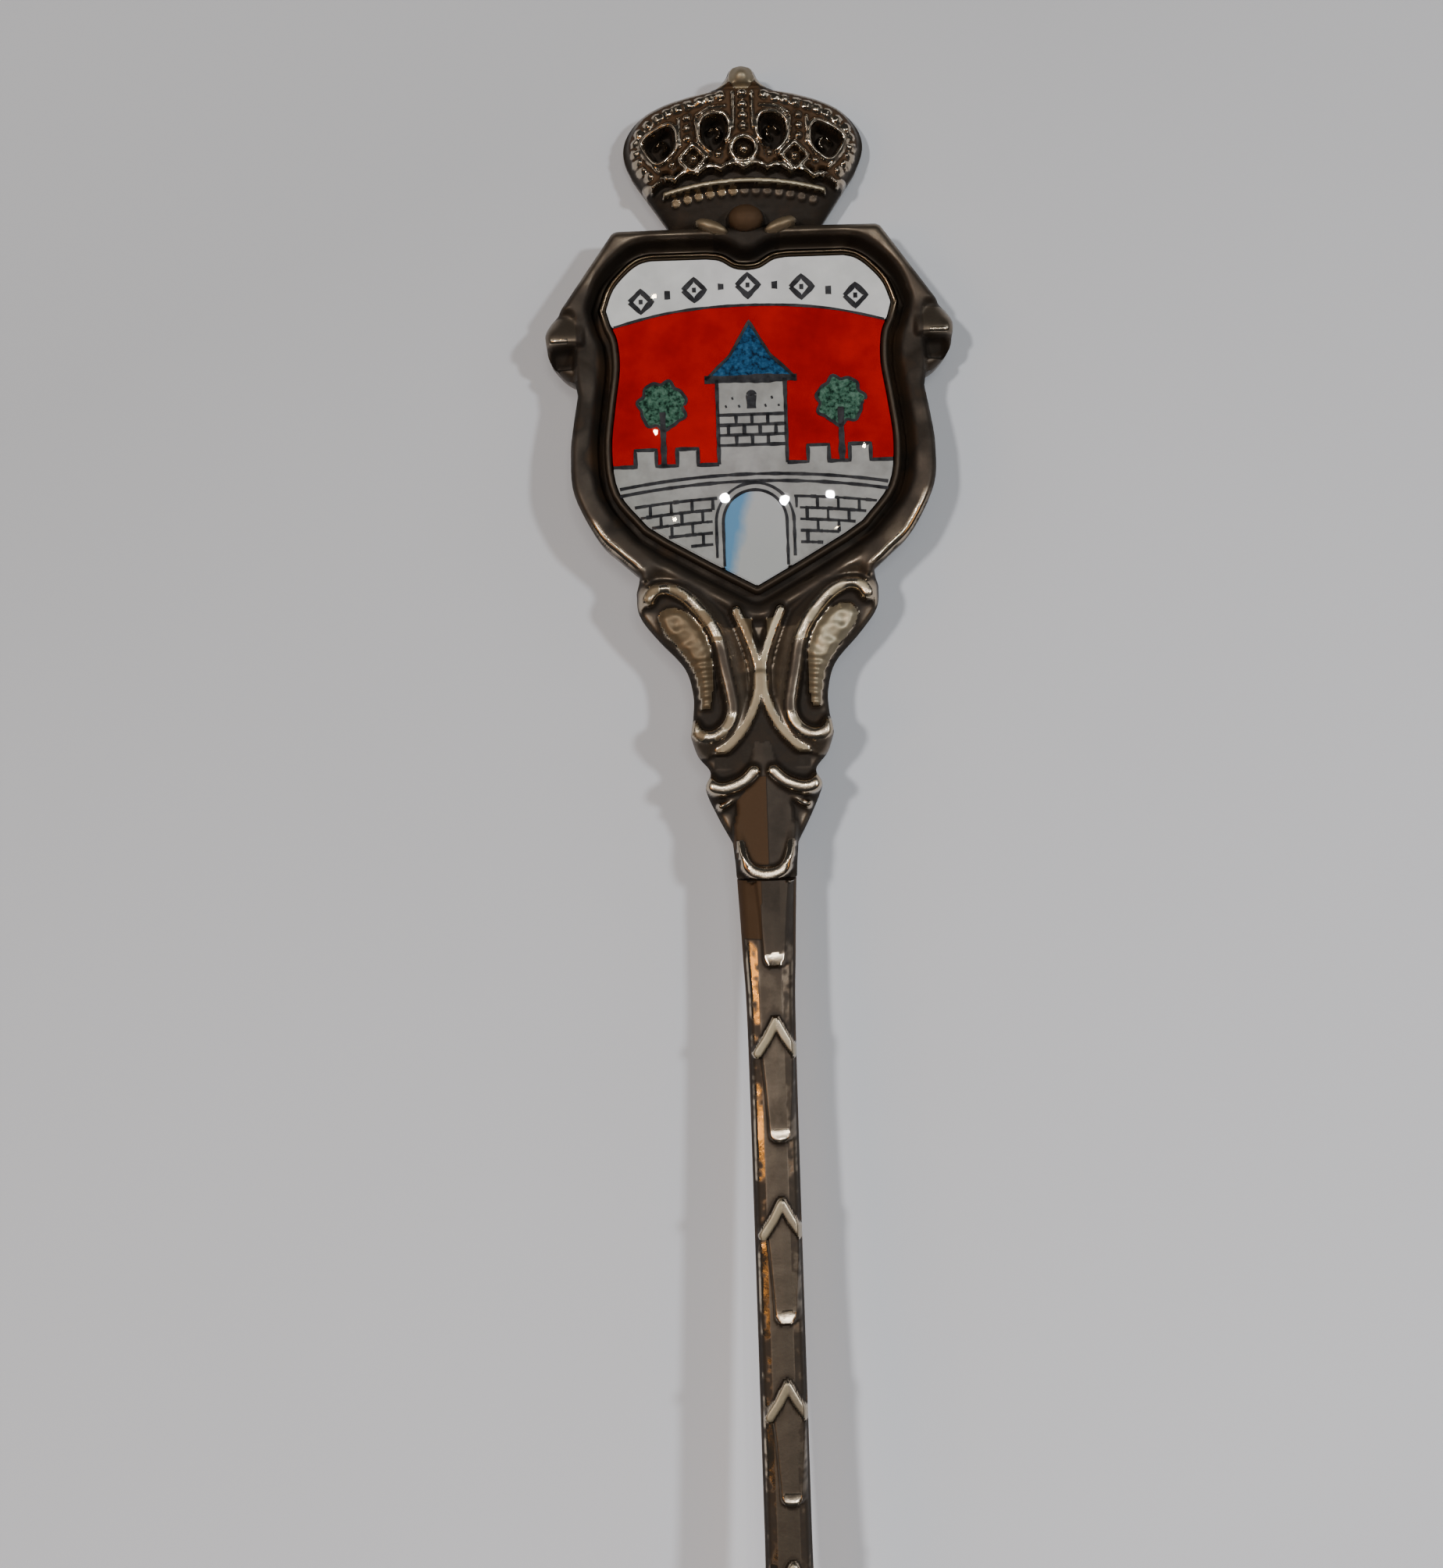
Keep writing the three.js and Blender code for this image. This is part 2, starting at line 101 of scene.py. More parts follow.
def trace(x, y, points, closed=False):
    """Distance to a run of points, place along it from 0 to 1, and side (1 is left)."""
    p = np.asarray(points, float)
    q = np.vstack([p, p[:1]]) if closed else p
    a, b = q[:-1], q[1:]
    lengths = np.hypot(*(b - a).T)
    start = np.concatenate([[0], np.cumsum(lengths)])
    best = np.full(np.shape(x), 1e9)
    place_along = np.zeros(np.shape(x))
    side = np.ones(np.shape(x))
    for k in range(len(a)):
        ex, ey = b[k] - a[k]
        rx, ry = x - a[k][0], y - a[k][1]
        t = np.clip((rx * ex + ry * ey) / max(lengths[k] ** 2, 1e-12), 0, 1)
        d = np.hypot(rx - t * ex, ry - t * ey)
        near = d < best
        best = np.where(near, d, best)
        place_along = np.where(near, (start[k] + t * lengths[k]) / start[-1], place_along)
        side = np.where(near, np.sign(ex * ry - ey * rx), side)
    return best, place_along, side


def region(x, y, points):
    """Signed distance to a closed outline, negative inside."""
    d = trace(x, y, points, closed=True)[0]
    p = np.asarray(points, float)
    q = np.roll(p, -1, axis=0)
    inside = np.zeros(np.shape(x), bool)
    for (ax, ay), (bx, by) in zip(p, q):
        if ay != by:
            crosses = (ay > y) != (by > y)
            inside ^= crosses & (x < (bx - ax) * (y - ay) / (by - ay) + ax)
    return np.where(inside, -d, d)


def grain(x, y, size, seed):
    """Smooth noise between about -1 and 1, with features of the given size."""
    rng = np.random.default_rng(seed)
    total = np.zeros(np.shape(x))
    for _ in range(14):
        angle = rng.uniform(0, 2 * math.pi)
        wave = 2 * math.pi / (size * rng.uniform(0.7, 1.8))
        phase = rng.uniform(0, 2 * math.pi)
        total += np.sin(wave * (x * math.cos(angle) + y * math.sin(angle)) + phase)
    return total / 4


def blend_max(a, b, soft):
    """The higher of two heights, with a rounded join."""
    return 0.5 * (a + b + np.sqrt((a - b) ** 2 + soft * soft))


def blend_min(a, b, soft):
    """The lower of two heights, with a rounded join."""
    return -blend_max(-a, -b, soft)


def ease(value, low, high):
    """0 below low, 1 above high, and a smooth step between."""
    t = np.clip((value - low) / (high - low), 0, 1)
    return t * t * (3 - 2 * t)


def fall(value, low, high):
    """1 below low, 0 above high, and a smooth step between."""
    return 1 - ease(value, low, high)


def lift(h, where, level):
    """A height raised to a level where a mask holds."""
    return np.where(where, np.maximum(h, level), h)


def wire(distance, half):
    """Round profile of a raised line: 1 on its middle, 0 at half its width and beyond."""
    return np.sqrt(np.clip(1 - (distance / half) ** 2, 0, 1))


def band(distance, half):
    """Like wire, with a flatter crest."""
    return np.sqrt(np.clip(1 - np.abs(distance / half) ** 5, 0, 1))


def round_over(edge, radius):
    """How far a rounded edge has dropped: 1 on the outline, 0 at the radius and further in."""
    return 1 - wire(1 - np.clip(edge / radius, 0, 1), 1)


def soften(grid, passes):
    """A grid averaged with its neighbours, again and again."""
    for _ in range(passes):
        for axis in (0, 1):
            lead = [(0, 0), (0, 0)]
            lead[axis] = (1, 1)
            wide = np.pad(grid, lead, mode="edge")
            low = np.take(wide, range(0, wide.shape[axis] - 2), axis)
            high = np.take(wide, range(2, wide.shape[axis]), axis)
            grid = 0.5 * grid + 0.25 * (low + high)
    return grid


# ---- meshes --------------------------------------------------------------------------------
# Every point of the metal has a hollowness, from which the material makes its tone: -1 dull,
# -0.6 frosted, 0 rubbed bright, 0.7 a worn flat, 1 black oxide, 1.4 brown.  It follows from the
# shape, unless a height function gives FIXED plus the hollowness that it wants.  Some of these
# fixed or added tones are painted light and shade.
SHARP_ANGLE = math.radians(55)
FIXED = 10.0
SILKY = FIXED - 0.2
FROSTED = FIXED - 0.6
DULL = FIXED - 0.95
BROWN = FIXED + 1.35
BACK_HOLLOW, EDGE_HOLLOW = 0.55, 0.6
FINE, BROAD = 8, 60  # passes that find small and large hollows


def make_piece(name, points, faces, values=None):
    """A mesh object in metres that rides on the spoon.  values are the points' hollowness."""
    mesh = bpy.data.meshes.new(name)
    mesh.from_pydata(np.asarray(points).tolist(), [], faces)
    mesh.update()
    mesh.shade_smooth()
    mesh.set_sharp_from_angle(angle=SHARP_ANGLE)
    if values is not None:
        layer = mesh.attributes.new("hollow", "FLOAT", "POINT")
        layer.data.foreach_set("value", np.asarray(values, np.float32))
    piece = bpy.data.objects.new(name, mesh)
    bpy.context.scene.collection.objects.link(piece)
    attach(piece, "root")
    return piece


def sample(grid, x, y, x0, y0, step):
    """Value of a grid at any place inside it."""
    i = np.clip((x - x0) / step, 0, grid.shape[1] - 1.001)
    j = np.clip((y - y0) / step, 0, grid.shape[0] - 1.001)
    i0, j0 = i.astype(int), j.astype(int)
    fi, fj = i - i0, j - j0
    low = grid[j0, i0] * (1 - fi) + grid[j0, i0 + 1] * fi
    high = grid[j0 + 1, i0] * (1 - fi) + grid[j0 + 1, i0 + 1] * fi
    return low * (1 - fj) + high * fj


def kept_cells(away):
    """Cells of a grid of distances whose middle is inside, none touching by a corner alone."""
    keep = away[:-1, :-1] + away[1:, :-1] + away[:-1, 1:] + away[1:, 1:] < 0
    for _ in range(3):
        a, b, c, d = keep[:-1, :-1], keep[:-1, 1:], keep[1:, :-1], keep[1:, 1:]
        pinch = (a & d & ~b & ~c) | (b & c & ~a & ~d)
        for part in (a, b, c, d):
            part |= pinch
    return keep


def relief(outline, height, step, back, passes, chamfer):
    """Points, faces and hollowness of a flat-backed casting.

    outline(x, y) is a signed distance, negative on the casting, and has a bounding box.
    height(x, y) gives the height of its front, and what to add to the hollowness of the shape
    or FIXED plus the wanted one.  A grid is cut to the outline, its edge is moved onto the
    outline, and walls close it down to the flat back.
    """
    (x0, y0), (x1, y1) = outline.low - 0.3, outline.high + 0.3
    x, y = np.meshgrid(np.arange(x0, x1, step), np.arange(y0, y1, step))
    away = outline(x, y)
    front, oxide_and_light = height(x, y)
    front = soften(front, passes)
    hollow = 0.74 + 4.0 * (soften(front, FINE) - front) + 0.9 * (soften(front, BROAD) - front)
    hollow = np.clip(hollow, 0.1, 1)
    hollow = np.where(oxide_and_light > 0.5 * FIXED, oxide_and_light - FIXED, np.clip(hollow + oxide_and_light, -1, 1))
    j, i = np.nonzero(kept_cells(away))
    columns = x.shape[1]
    corner = j * columns + i
    quads = np.stack([corner, corner + 1, corner + columns + 1, corner + columns], 1)
    used, quads = np.unique(quads, return_inverse=True)
    quads = quads.reshape(-1, 4)
    px, py = x.ravel()[used], y.ravel()[used]
    # edges that one kept cell has to itself
    pairs = np.vstack([quads[:, [k, (k + 1) % 4]] for k in range(4)])
    code = pairs[:, 0] * len(used) + pairs[:, 1]
    other = pairs[:, 1] * len(used) + pairs[:, 0]
    rim = pairs[~np.isin(code, other)]
    edge = np.unique(rim)
    slope_y, slope_x = np.gradient(away, step)

    def at_edge(grid):
        return sample(grid, px[edge], py[edge], x0, y0, step)

    for _ in range(2):
        d, gx, gy = at_edge(away), at_edge(slope_x), at_edge(slope_y)
        norm = np.maximum(gx * gx + gy * gy, 0.25)
        px[edge] -= d * gx / norm
        py[edge] -= d * gy / norm
    top = np.stack([px, py, sample(front, px, py, x0, y0, step)], 1)
    under = np.stack([px, py, np.full(len(px), float(back))], 1)
    under[edge, 0] -= chamfer * at_edge(slope_x)
    under[edge, 1] -= chamfer * at_edge(slope_y)
    ring = top[edge].copy()
    ring[:, 2] = back + chamfer
    count = len(top)
    at_ring = np.zeros(count, int)
    at_ring[edge] = 2 * count + np.arange(len(edge))
    a, b = rim[:, 0], rim[:, 1]
    walls = np.stack([a, at_ring[a], at_ring[b], b], 1)
    lower = np.stack([at_ring[a], a + count, b + count, at_ring[b]], 1)
    faces = np.vstack([quads, quads[:, ::-1] + count, walls, lower])
    values = [sample(hollow, px, py, x0, y0, step), np.full(count, BACK_HOLLOW),
              np.full(len(edge), EDGE_HOLLOW)]
    return np.vstack([top, under, ring]), faces.tolist(), np.concatenate(values)


class Outline:
    """Signed distance to a closed outline, grown by a distance and cut by other outlines."""

    def __init__(self, points, grow=0.0, inside=(), outside=()):
        self.points = np.asarray(points, float)
        self.grow = grow
        self.inside = [np.asarray(p, float) for p in inside]
        self.outside = [np.asarray(p, float) for p in outside]
        self.low, self.high = self.points.min(0) - grow, self.points.max(0) + grow
        for other in self.inside:
            self.low = np.maximum(self.low, other.min(0))
            self.high = np.minimum(self.high, other.max(0))

    def __call__(self, x, y):
        d = region(x, y, self.points) - self.grow
        for other in self.inside:
            d = np.maximum(d, region(x, y, other))
        for other in self.outside:
            d = np.maximum(d, -region(x, y, other))
        return d


# ---- outlines, as on the CAD part but for the ears' upper corners ---------------------------
FRAME = mirrored(
    [[0, 16.9], [3, 16.9], [5.9, 16.88], [6.08, 16.8], [8.62, 13.25]],
    smooth([[8.95, 12.9], [9.22, 12.4], [9.22, 11.9], [9.1, 11.2], [8.5, 10.45], [7.95, 10.1]], 4),
    smooth([[7.85, 9.5], [8.12, 8], [8.26, 6.8], [8.15, 5], [7.15, 3], [6.2, 2.05], [5.3, 1.25]], 5),
    smooth([[5.5, 0.5], [5.4, -0.5], [4.6, -1.6], [3.45, -2.9], [3.08, -4.2], [3.12, -5.3]], 5),
    smooth([[3.25, -6.1], [2.95, -7.0], [2.4, -7.75], [2.65, -8.5], [2.15, -9.75], [1.5, -11]], 5),
    [[1.4, -12.0], [1.37, -12.6], [0, -12.6]],
)
PICTURE = mirrored(
    smooth([[0, 15.05], [0.6, 15.15], [1.2, 15.5], [1.8, 15.6]], 4),
    smooth([[4.4, 15.6], [4.95, 15.45], [5.55, 15.0], [6.15, 14.3], [6.5, 13.4]], 4),
    smooth([[6.3, 12.7], [6.02, 12], [5.95, 10.7], [6.2, 9], [6.42, 7], [6.15, 5.1], [4.9, 3.5]], 4),
    [[4, 2.9], [2, 1.75], [0, 0.65]],
)
CROWN = mirrored(
    smooth([[0, 24.18], [0.48, 24.03], [0.7, 23.65], [1.05, 23.25], [1.6, 23.1]], 4),
    smooth([[2.2, 22.98], [3.5, 22.72], [4.6, 22.3], [5.3, 21.5], [5.48, 20.6], [5.1, 19.6]], 5),
    [[3.3, 16.95], [2.45, 16.9]],
    smooth([[2.2, 16.7], [1.2, 16.35], [0.6, 16.45], [0, 16.5]], 4),
)
BADGE_RIM = 0.35
GROOVE = 0.42
POCKET_FLOOR = 0.8
FRAME_TOP = 2.2


# ---- finial casting ------------------------------------------------------------------------
# Height functions take u, the distance from the middle line, where both sides are alike.
def rim_height(u, y, edge, wall):
    """The shield frame: a rounded outer edge, and a flat that dips to the pocket."""
    crest = 0.3
    outer = FRAME_TOP - 0.42 * round_over(edge, crest)
    dip = 0.2 - 0.15 * ease(y, 12.6, 13.6)
    inner = FRAME_TOP - dip * np.clip((edge - crest) / 0.8, 0, 1) ** 1.3
    rim = np.where(edge < crest, outer, inner - 0.14 * np.maximum(edge - 0.9, 0))
    at_point = fall(u, 4.2, 5.2) * fall(y, 2.2, 3.4)
    rim -= 0.3 * (1 - np.clip(wall / (0.25 + 0.35 * at_point), 0, 1)) ** 2
    return rim - at_point * ease(wall, 0.45, 1.5) - (1 - at_point) * ease(wall, 1.25, 2.0)


def ear_height(u, y, edge):
    """A knob that rises to a sharp ledge, over a small hollow closed below by a lip; and tones."""
    knob = 1.85 + 0.4 * fall(y, 12, 13.2) - 0.07 * np.maximum(12.0 - y, 0)
    pit = (np.abs((u - 8.4) / 0.68) ** 4 + np.abs((y - 11.25) / 0.5) ** 4) ** 0.25
    lobe = 1.8 - (0.85 - 0.6 * (y - 11.25)) * fall(pit, 0.7, 1.0)
    h = np.where(y > 11.75, knob, lobe)
    on_ledge = (y > 11.88) & (y < 12.06) & (np.abs(u - 8.6) < 0.4)
    oxide_and_light = np.where(y > 11.75, FIXED + 0.66 - 0.06 * (u - 8), FIXED + 0.78)
    oxide_and_light = np.where((y < 11.75) & (pit < 0.95), FIXED + 1.0, oxide_and_light)
    oxide_and_light = np.where(on_ledge, SILKY, oxide_and_light)
    return h - 0.5 * round_over(edge, 0.5), oxide_and_light


SCROLL = smooth([[4.95, 0.2], [4.7, 0.55], [4.2, 0.7], [3.6, 0.48], [3.05, 0.05], [2.5, -0.6],
                 [2.05, -1.3], [1.78, -2.1], [1.62, -3.0], [1.42, -4.0], [1.3, -4.8],
                 [1.42, -5.4], [1.75, -5.85], [2.3, -6.12], [2.85, -6.02], [3.1, -5.7]], 4)
GLASS_UP = smooth([[1.0, -0.45], [0.6, -1.4], [0.28, -2.3], [0.12, -3.0], [0.1, -3.6]], 4)
GLASS_DOWN = smooth([[0.1, -3.4], [0.14, -4.1], [0.4, -4.95], [0.85, -5.8], [1.4, -6.45],
                     [1.95, -6.85]], 4)
PANEL = np.vstack([smooth([[3.2, -0.35], [4.0, -0.1], [4.6, -0.5], [4.45, -1.2], [3.6, -2.3],
                           [3.05, -3.2], [2.85, -4.2], [2.75, -4.95]], 4),
                   smooth([[2.25, -4.9], [2.1, -4.0], [2.1, -3.0], [2.15, -2.1], [2.5, -1.1]], 4)])
LEAF_LIP = smooth([[0.45, -7.75], [0.8, -8.1], [1.25, -8.35], [1.8, -8.5], [2.25, -8.42],
                   [2.5, -8.2]], 4)
LOW_LIP = smooth([[0.75, -8.3], [1.15, -8.75], [1.65, -9.15], [2.0, -9.3]], 4)
TONGUE_LIP = smooth([[1.22, -10.2], [1.16, -10.9], [1.02, -11.6], [0.72, -12.15], [0.35, -12.38],
                     [0, -12.44]], 4)


def raised_line(h, distance, crest, half, depth):
    """A round line over a height: crest on its middle, down by depth at its sides."""
    line = crest - depth + depth * band(distance, half) - 3 * np.clip(distance - half, 0, 1)
    return blend_max(h, line, 0.05)


def bracket_height(u, y):
    """Scrolls and hourglass ridges, on the right of the middle line, and their oxide, with painted shade on
    the scroll's lip.
    """
    d, t, side = trace(u, y, SCROLL)
    crest = 2.25 - 0.2 * np.sin(math.pi * np.clip(t * 1.1, 0, 1))
    in_scroll = side > 0
    flank = crest - 0.8 * np.clip(d / 1.05, 0, 1) ** 1.25
    ground = np.where(d < 1.05, np.maximum(1.25, flank), 1.25)
    h = np.where(in_scroll, 1.42 + 0.05 * (y + 4) * (y > -4), ground)
    h = raised_line(h, d, crest, 0.32, 0.35)
    panel = -region(u, y, PANEL)
    rungs = 0.5 + 0.5 * np.cos(2 * math.pi * (y + 0.12 * u) / 0.44)
    lumps = 0.05 * grain(u, y, 0.9, 11) + 0.02 * grain(u, y, 0.45, 12) + 0.08
    texture = lumps + (0.14 * rungs - 0.05 - lumps) * fall(y, -2.9, -2.3)
    body = 1.6 + 0.3 * ease(panel, 0, 0.45) + texture
    h = np.where(panel > 0, blend_max(h, body, 0.04), h)
    matte = (panel > 0.08) & (h < body + 0.05)
    # the lip is rubbed bright at its head and foot; along its upright middle it is darker, painted shade
    # where it catches no light
    worn = 1 - fall(y, -2.4, -1.2) * ease(y, -5.3, -4.9)
    oxide_and_light = np.where(in_scroll | (y > -1.2) | (d < 0.3), 0.0, FIXED + 0.66)
    oxide_and_light = np.where(d < 0.3, 0.4 * (1 - worn), oxide_and_light)
    tarnish = SILKY - 0.45 * np.clip(grain(u, y, 0.7, 15), 0, 1)
    oxide_and_light = np.where((d < 0.23) & (worn > 0.5), tarnish, oxide_and_light)
    for path, top in ((GLASS_UP, 1.9), (GLASS_DOWN, 1.98)):
        d = trace(u, y, path)[0]
        h = raised_line(h, d, top, 0.3, 0.36)
        matte |= d < 0.2 + 0.03 * grain(u, y, 0.7, 14) - 0.07 * (top < 1.95)
    facet = (u < 0.82 - 0.42 * (-0.75 - y)) & (y < -0.8) & (u > 0.3)
    h = lift(h, facet, 1.65)
    matte |= facet
    return h, np.where(matte, FROSTED - 0.15 * fall(y, -3, -2), oxide_and_light)


def leaf_seam(u):
    """Where the calyx comes out from under the hourglass ridges."""
    return np.interp(u, [0, 0.14, 0.4, 0.85, 1.4, 1.95, 2.6, 3.3],
                     [-4.1, -4.3, -4.95, -5.8, -6.45, -6.85, -7.1, -7.2])


def calyx_height(u, y):
    """The leaf calyx below the scrolls, and its oxide."""
    lip = trace(u, y, LEAF_LIP)[0]
    h = raised_line(1.72 - 0.14 * u, lip, 2.26, 0.34, 0.35)
    h = raised_line(h, trace(u, y, LOW_LIP)[0], 1.9, 0.2, 0.4)
    return h, np.where(lip < 0.24, SILKY, 0.0)


def tongue_height(u, y):
    """The calyx's middle leaf: two slopes from a fine rib, with a lip around its end."""
    edge = np.interp(y, [-12.62, -12.5, -12.3, -12, -11, -10, -9, -8, -7, -6, -5],
                     [0, 0.42, 0.72, 0.92, 1.22, 1.33, 1.22, 0.85, 0.5, 0.25, 0])
    body = 2.0 - 0.13 * np.hypot(u, 0.05) - 0.36 * ease(y, -8.5, -5.5)
    body = body + 0.2 * np.clip(-y - 11.6 + 0.3 * u * u, 0, 1) ** 2
    body = np.where(u < edge, body, 0)
    d = trace(u, y, TONGUE_LIP)[0]
    crest = 2.33 - 0.42 * ease(y, -11.9, -10.2) - 0.07 * np.clip(y + 12.4, -0.3, 0.3)
    half = 0.24 + 0.12 * fall(y, -12.2, -11.8)
    lip = crest - 0.35 + 0.35 * band(d, half) - 5 * np.clip(d - half, 0, 1)
    return np.maximum(body, lip)


def bracket_casting(u, y):
    """Bracket, calyx and tongue together: height, oxide with painted shade, and the tongue's height where
    it shows.
    """
    bracket, oxide_and_light = bracket_height(u, y)
    leaves, leaf_oxide = calyx_height(u, y)
    leaves = np.where(y < -11.2, 1.66, leaves)
    on_leaves = (y < leaf_seam(u)) & ((y < -6.9) | (leaves > bracket))
    low = np.where(on_leaves, leaves, bracket)
    oxide_and_light = np.where(on_leaves, leaf_oxide, oxide_and_light)
    tongue = tongue_height(u, y)
    on_tongue = (y < -5) & (tongue > low)
    return (np.where(on_tongue, tongue, low), np.where(on_tongue, 0, oxide_and_light),
            np.where(on_tongue, tongue, 0))


def bracket_tones(x, y, edge, wall, tongue, oxide_and_light):
    """Oxide and painted shade darken the bracket's sides and the calyx below its ridges; its left half is
    painted duller and browner, and the tongue's left flank brown, for warm light from the left.
    """
    u = np.abs(x)
    oxide_and_light = np.where((y < 0.8) & (wall > 0.3), oxide_and_light, 0)
    shade = 0.4 * fall(wall, 0.0, 1.1) + 0.3 * fall(edge, 0.02, 0.4)
    # painted shade: the calyx just below the hourglass ridges is darkened
    shade = shade + 0.42 * ((y < leaf_seam(u)) & (y > -7.6) & (u < 2.2))
    oxide_and_light = np.where(oxide_and_light > 0.5 * FIXED, oxide_and_light, oxide_and_light + shade)
    # painted light: on the left half, the frosted parts and rubbed lips are made duller and browner
    left = (oxide_and_light < SILKY) & (oxide_and_light > 0.5 * FIXED) & (x < 0.1)
    oxide_and_light = np.where(left, np.where((u > 1.9) | (y > -2), FIXED - 0.92, FIXED - 0.82), oxide_and_light)
    # painted warm light: the tongue's left flank below -8 is brown; the rest of its flanks are a dark worn
    # flat
    leaf = (tongue > 0) & (tongue < 2.02) & (y > -12)
    oxide_and_light = np.where(leaf, np.where((x < 0.1) & (y < -8), BROWN, FIXED + 0.87), oxide_and_light)
    lip = (y < -11.9) & (y > -12.6) & (u < 0.8) & (tongue > 2.05)
    return np.where(lip, SILKY, oxide_and_light)


def shield_tones(x, y, edge, wall):
    """The shield frame is dull all over, but for a glint along its lower outer edge."""
    u = np.abs(x)
    last = np.where(x > 0, 4.6, 3.8)
    glint = band(edge - 0.24, 0.17) * ease(y, 1.3, 1.9) * fall(y - last, -1, 0.5) * (u > 5)
    dull = FIXED + np.interp(y, [2, 7, 10.5, 12.8, 13.6, 16.5], [0.8, 0.93, 0.97, 0.97, 0.76, 0.64])
    dull += 0.15 * fall(wall, 0.0, 0.4) - 0.65 * glint + 0.08 * grain(x, y, 1.5, 22)
    return np.where((u < 1.5) & (y > 15.7), FIXED + 1.0, dull)


def frame_height(x, y):
    """Height and tone of the whole finial casting: oxide, with painted light and shade."""
    u = np.abs(x)
    edge = -region(x, y, FRAME)
    wall = region(x, y, PICTURE) - BADGE_RIM - GROOVE
    rim = rim_height(u, y, edge, wall)
    ear = (u > 7.5) & (y < 13.45) & (y > 10.2)
    ear_top, ear_oxide = ear_height(u, y, edge)
    sunk = rim - 2 * ease(u, 7.8, 8.3) * fall(y, 12.7, 13.45)
    rim = np.where(ear, blend_max(sunk, ear_top, 0.05), rim)
    low, oxide_and_light, tongue = bracket_casting(u, y)
    # the bracket rounds off towards its own sides, but not towards its square end
    side = -region(x, np.maximum(y, -11.7), FRAME)
    low = low - 0.38 * round_over(side, 0.28)
    upper = ease(y, 0.7, 1.7)
    h = blend_max(rim, low - 0.6 * upper, 0.05) * (1 - upper) + rim * upper
    h = np.where(y < -1.4, low, h)
    h = POCKET_FLOOR + (h - POCKET_FLOOR) * ease(wall, -0.1, 0.04)
    oxide_and_light = bracket_tones(x, y, edge, wall, tongue, oxide_and_light)
    oxide_and_light = np.where(y > 1.1, shield_tones(x, y, edge, wall), oxide_and_light)
    oxide_and_light = np.where(ear & (u > 7.85) & (y < 13.1) & (h > 0.9), ear_oxide, oxide_and_light)
    return h + 0.003 * grain(x, y, 0.8, 21), oxide_and_light


# ---- crown ---------------------------------------------------------------------------------
PARALLAX = 0.28  # ornaments stand this much lower than they look


def crown_dome(x):
    """Height of the crown's face, which is domed across."""
    return 3.0 - x * x / 19.0


def beads(h, x, y, centres, radius, sunk):
    """A row of beads standing on a sunken track."""
    for cx, cy in centres:
        d = np.hypot(x - cx, y - cy)
        ground = crown_dome(cx) - sunk
        h = np.where(d < radius + 0.06, np.minimum(h, ground), h)
    for cx, cy in centres:
        d = np.hypot(x - cx, y - cy)
        bead = crown_dome(cx) - sunk + 1.15 * radius * wire(d, radius)
        h = lift(h, d < radius, bead)
    return h


def beading(h, marks, x, y, run, dome):
    """A worn row of beads that have run together, on both sides of the middle."""
    u = np.abs(x)
    d, t = trace(u, y, run)[:2]
    length = np.hypot(*np.diff(run, axis=0).T).sum()
    lumps = 0.5 + 0.5 * np.cos(2 * math.pi * t * round(length / 0.5))
    crest = dome - 0.06 - 0.1 * (1 - lumps) + 0.02 * grain(u, y, 0.4, 35)
    h = lift(h, d < 0.26, crest - 0.3 + 0.3 * band(d, 0.26))
    return h, np.where((d < 0.2) & (lumps > 0.25), FIXED + 0.1 + 0.35 * grain(x, y, 0.3, 36), marks)


def both(points):
    """The points and their mirror images."""
    return [(side * cx, cy) for side in (-1, 1) for cx, cy in points]


INNER_WINDOW = smooth([[0.72, 21.6], [0.9, 21.95], [1.4, 22.0], [1.82, 21.75], [1.88, 21.15],
                       [1.65, 20.7], [1.3, 20.45], [0.98, 20.8], [0.75, 21.15], [0.72, 21.6]], 4)[:-1]
OUTER_WINDOW = smooth([[3.12, 21.45], [3.35, 21.7], [4.0, 21.5], [4.5, 21.15], [4.35, 20.75],
                       [3.98, 20.25], [3.6, 20.3], [3.15, 20.75], [3.12, 21.45]], 4)[:-1]
TOP_ROW = smooth([[0.98, 22.9], [2.0, 22.66], [3.0, 22.46], [4.0, 22.1], [4.72, 21.62]], 4)
SIDE_ROW = smooth([[4.88, 21.2], [4.92, 20.6], [4.7, 20.0], [4.35, 19.6]], 4)
RIBS = [[[0.42, 23.0], [0.42, 22.2], [0.45, 21.4]], [[2.12, 21.9], [2.08, 21.3], [2.0, 20.8]],
        [[2.88, 22.0], [2.9, 21.4], [2.85, 20.8]], [[3.85, 19.75], [4.5, 20.5], [4.78, 21.1]],
        [[0.8, 22.42], [1.5, 22.38], [2.05, 22.1]]]
GAPS = [(0.68, 19.88, 0.2), (1.5, 19.85, 0.22), (1.02, 20.72, 0.15), (2.95, 19.6, 0.2), (3.55, 19.62, 0.2)]


def openings(h, u, y, dome):
    """Openings between the arches, each with a raised lip and a small curl inside; and oxide."""
    floor = dome - 1.15
    oxide_and_light = 0.0
    for window, cx, cy in ((INNER_WINDOW, 1.3, 21.4), (OUTER_WINDOW, 3.72, 21.0)):
        d = region(u, y, window)
        h = lift(h, np.abs(d - 0.12) < 0.15, dome - 0.3 + 0.3 * wire(d - 0.12, 0.15))
        h = np.where(d < 0, floor + (h - floor) * ease(d, -0.14, 0.0), h)
        ring = np.abs(np.hypot(u - cx, y - cy) - 0.24)
        curl = (d < -0.12) & ((u < cx) | (y > cy)) & (ring < 0.12)
        h = lift(h, curl, floor + 0.45 * wire(ring, 0.12))
        oxide_and_light = oxide_and_light + 0.5 * fall(d, -0.2, 0.02) - 0.3 * curl
    return h, oxide_and_light


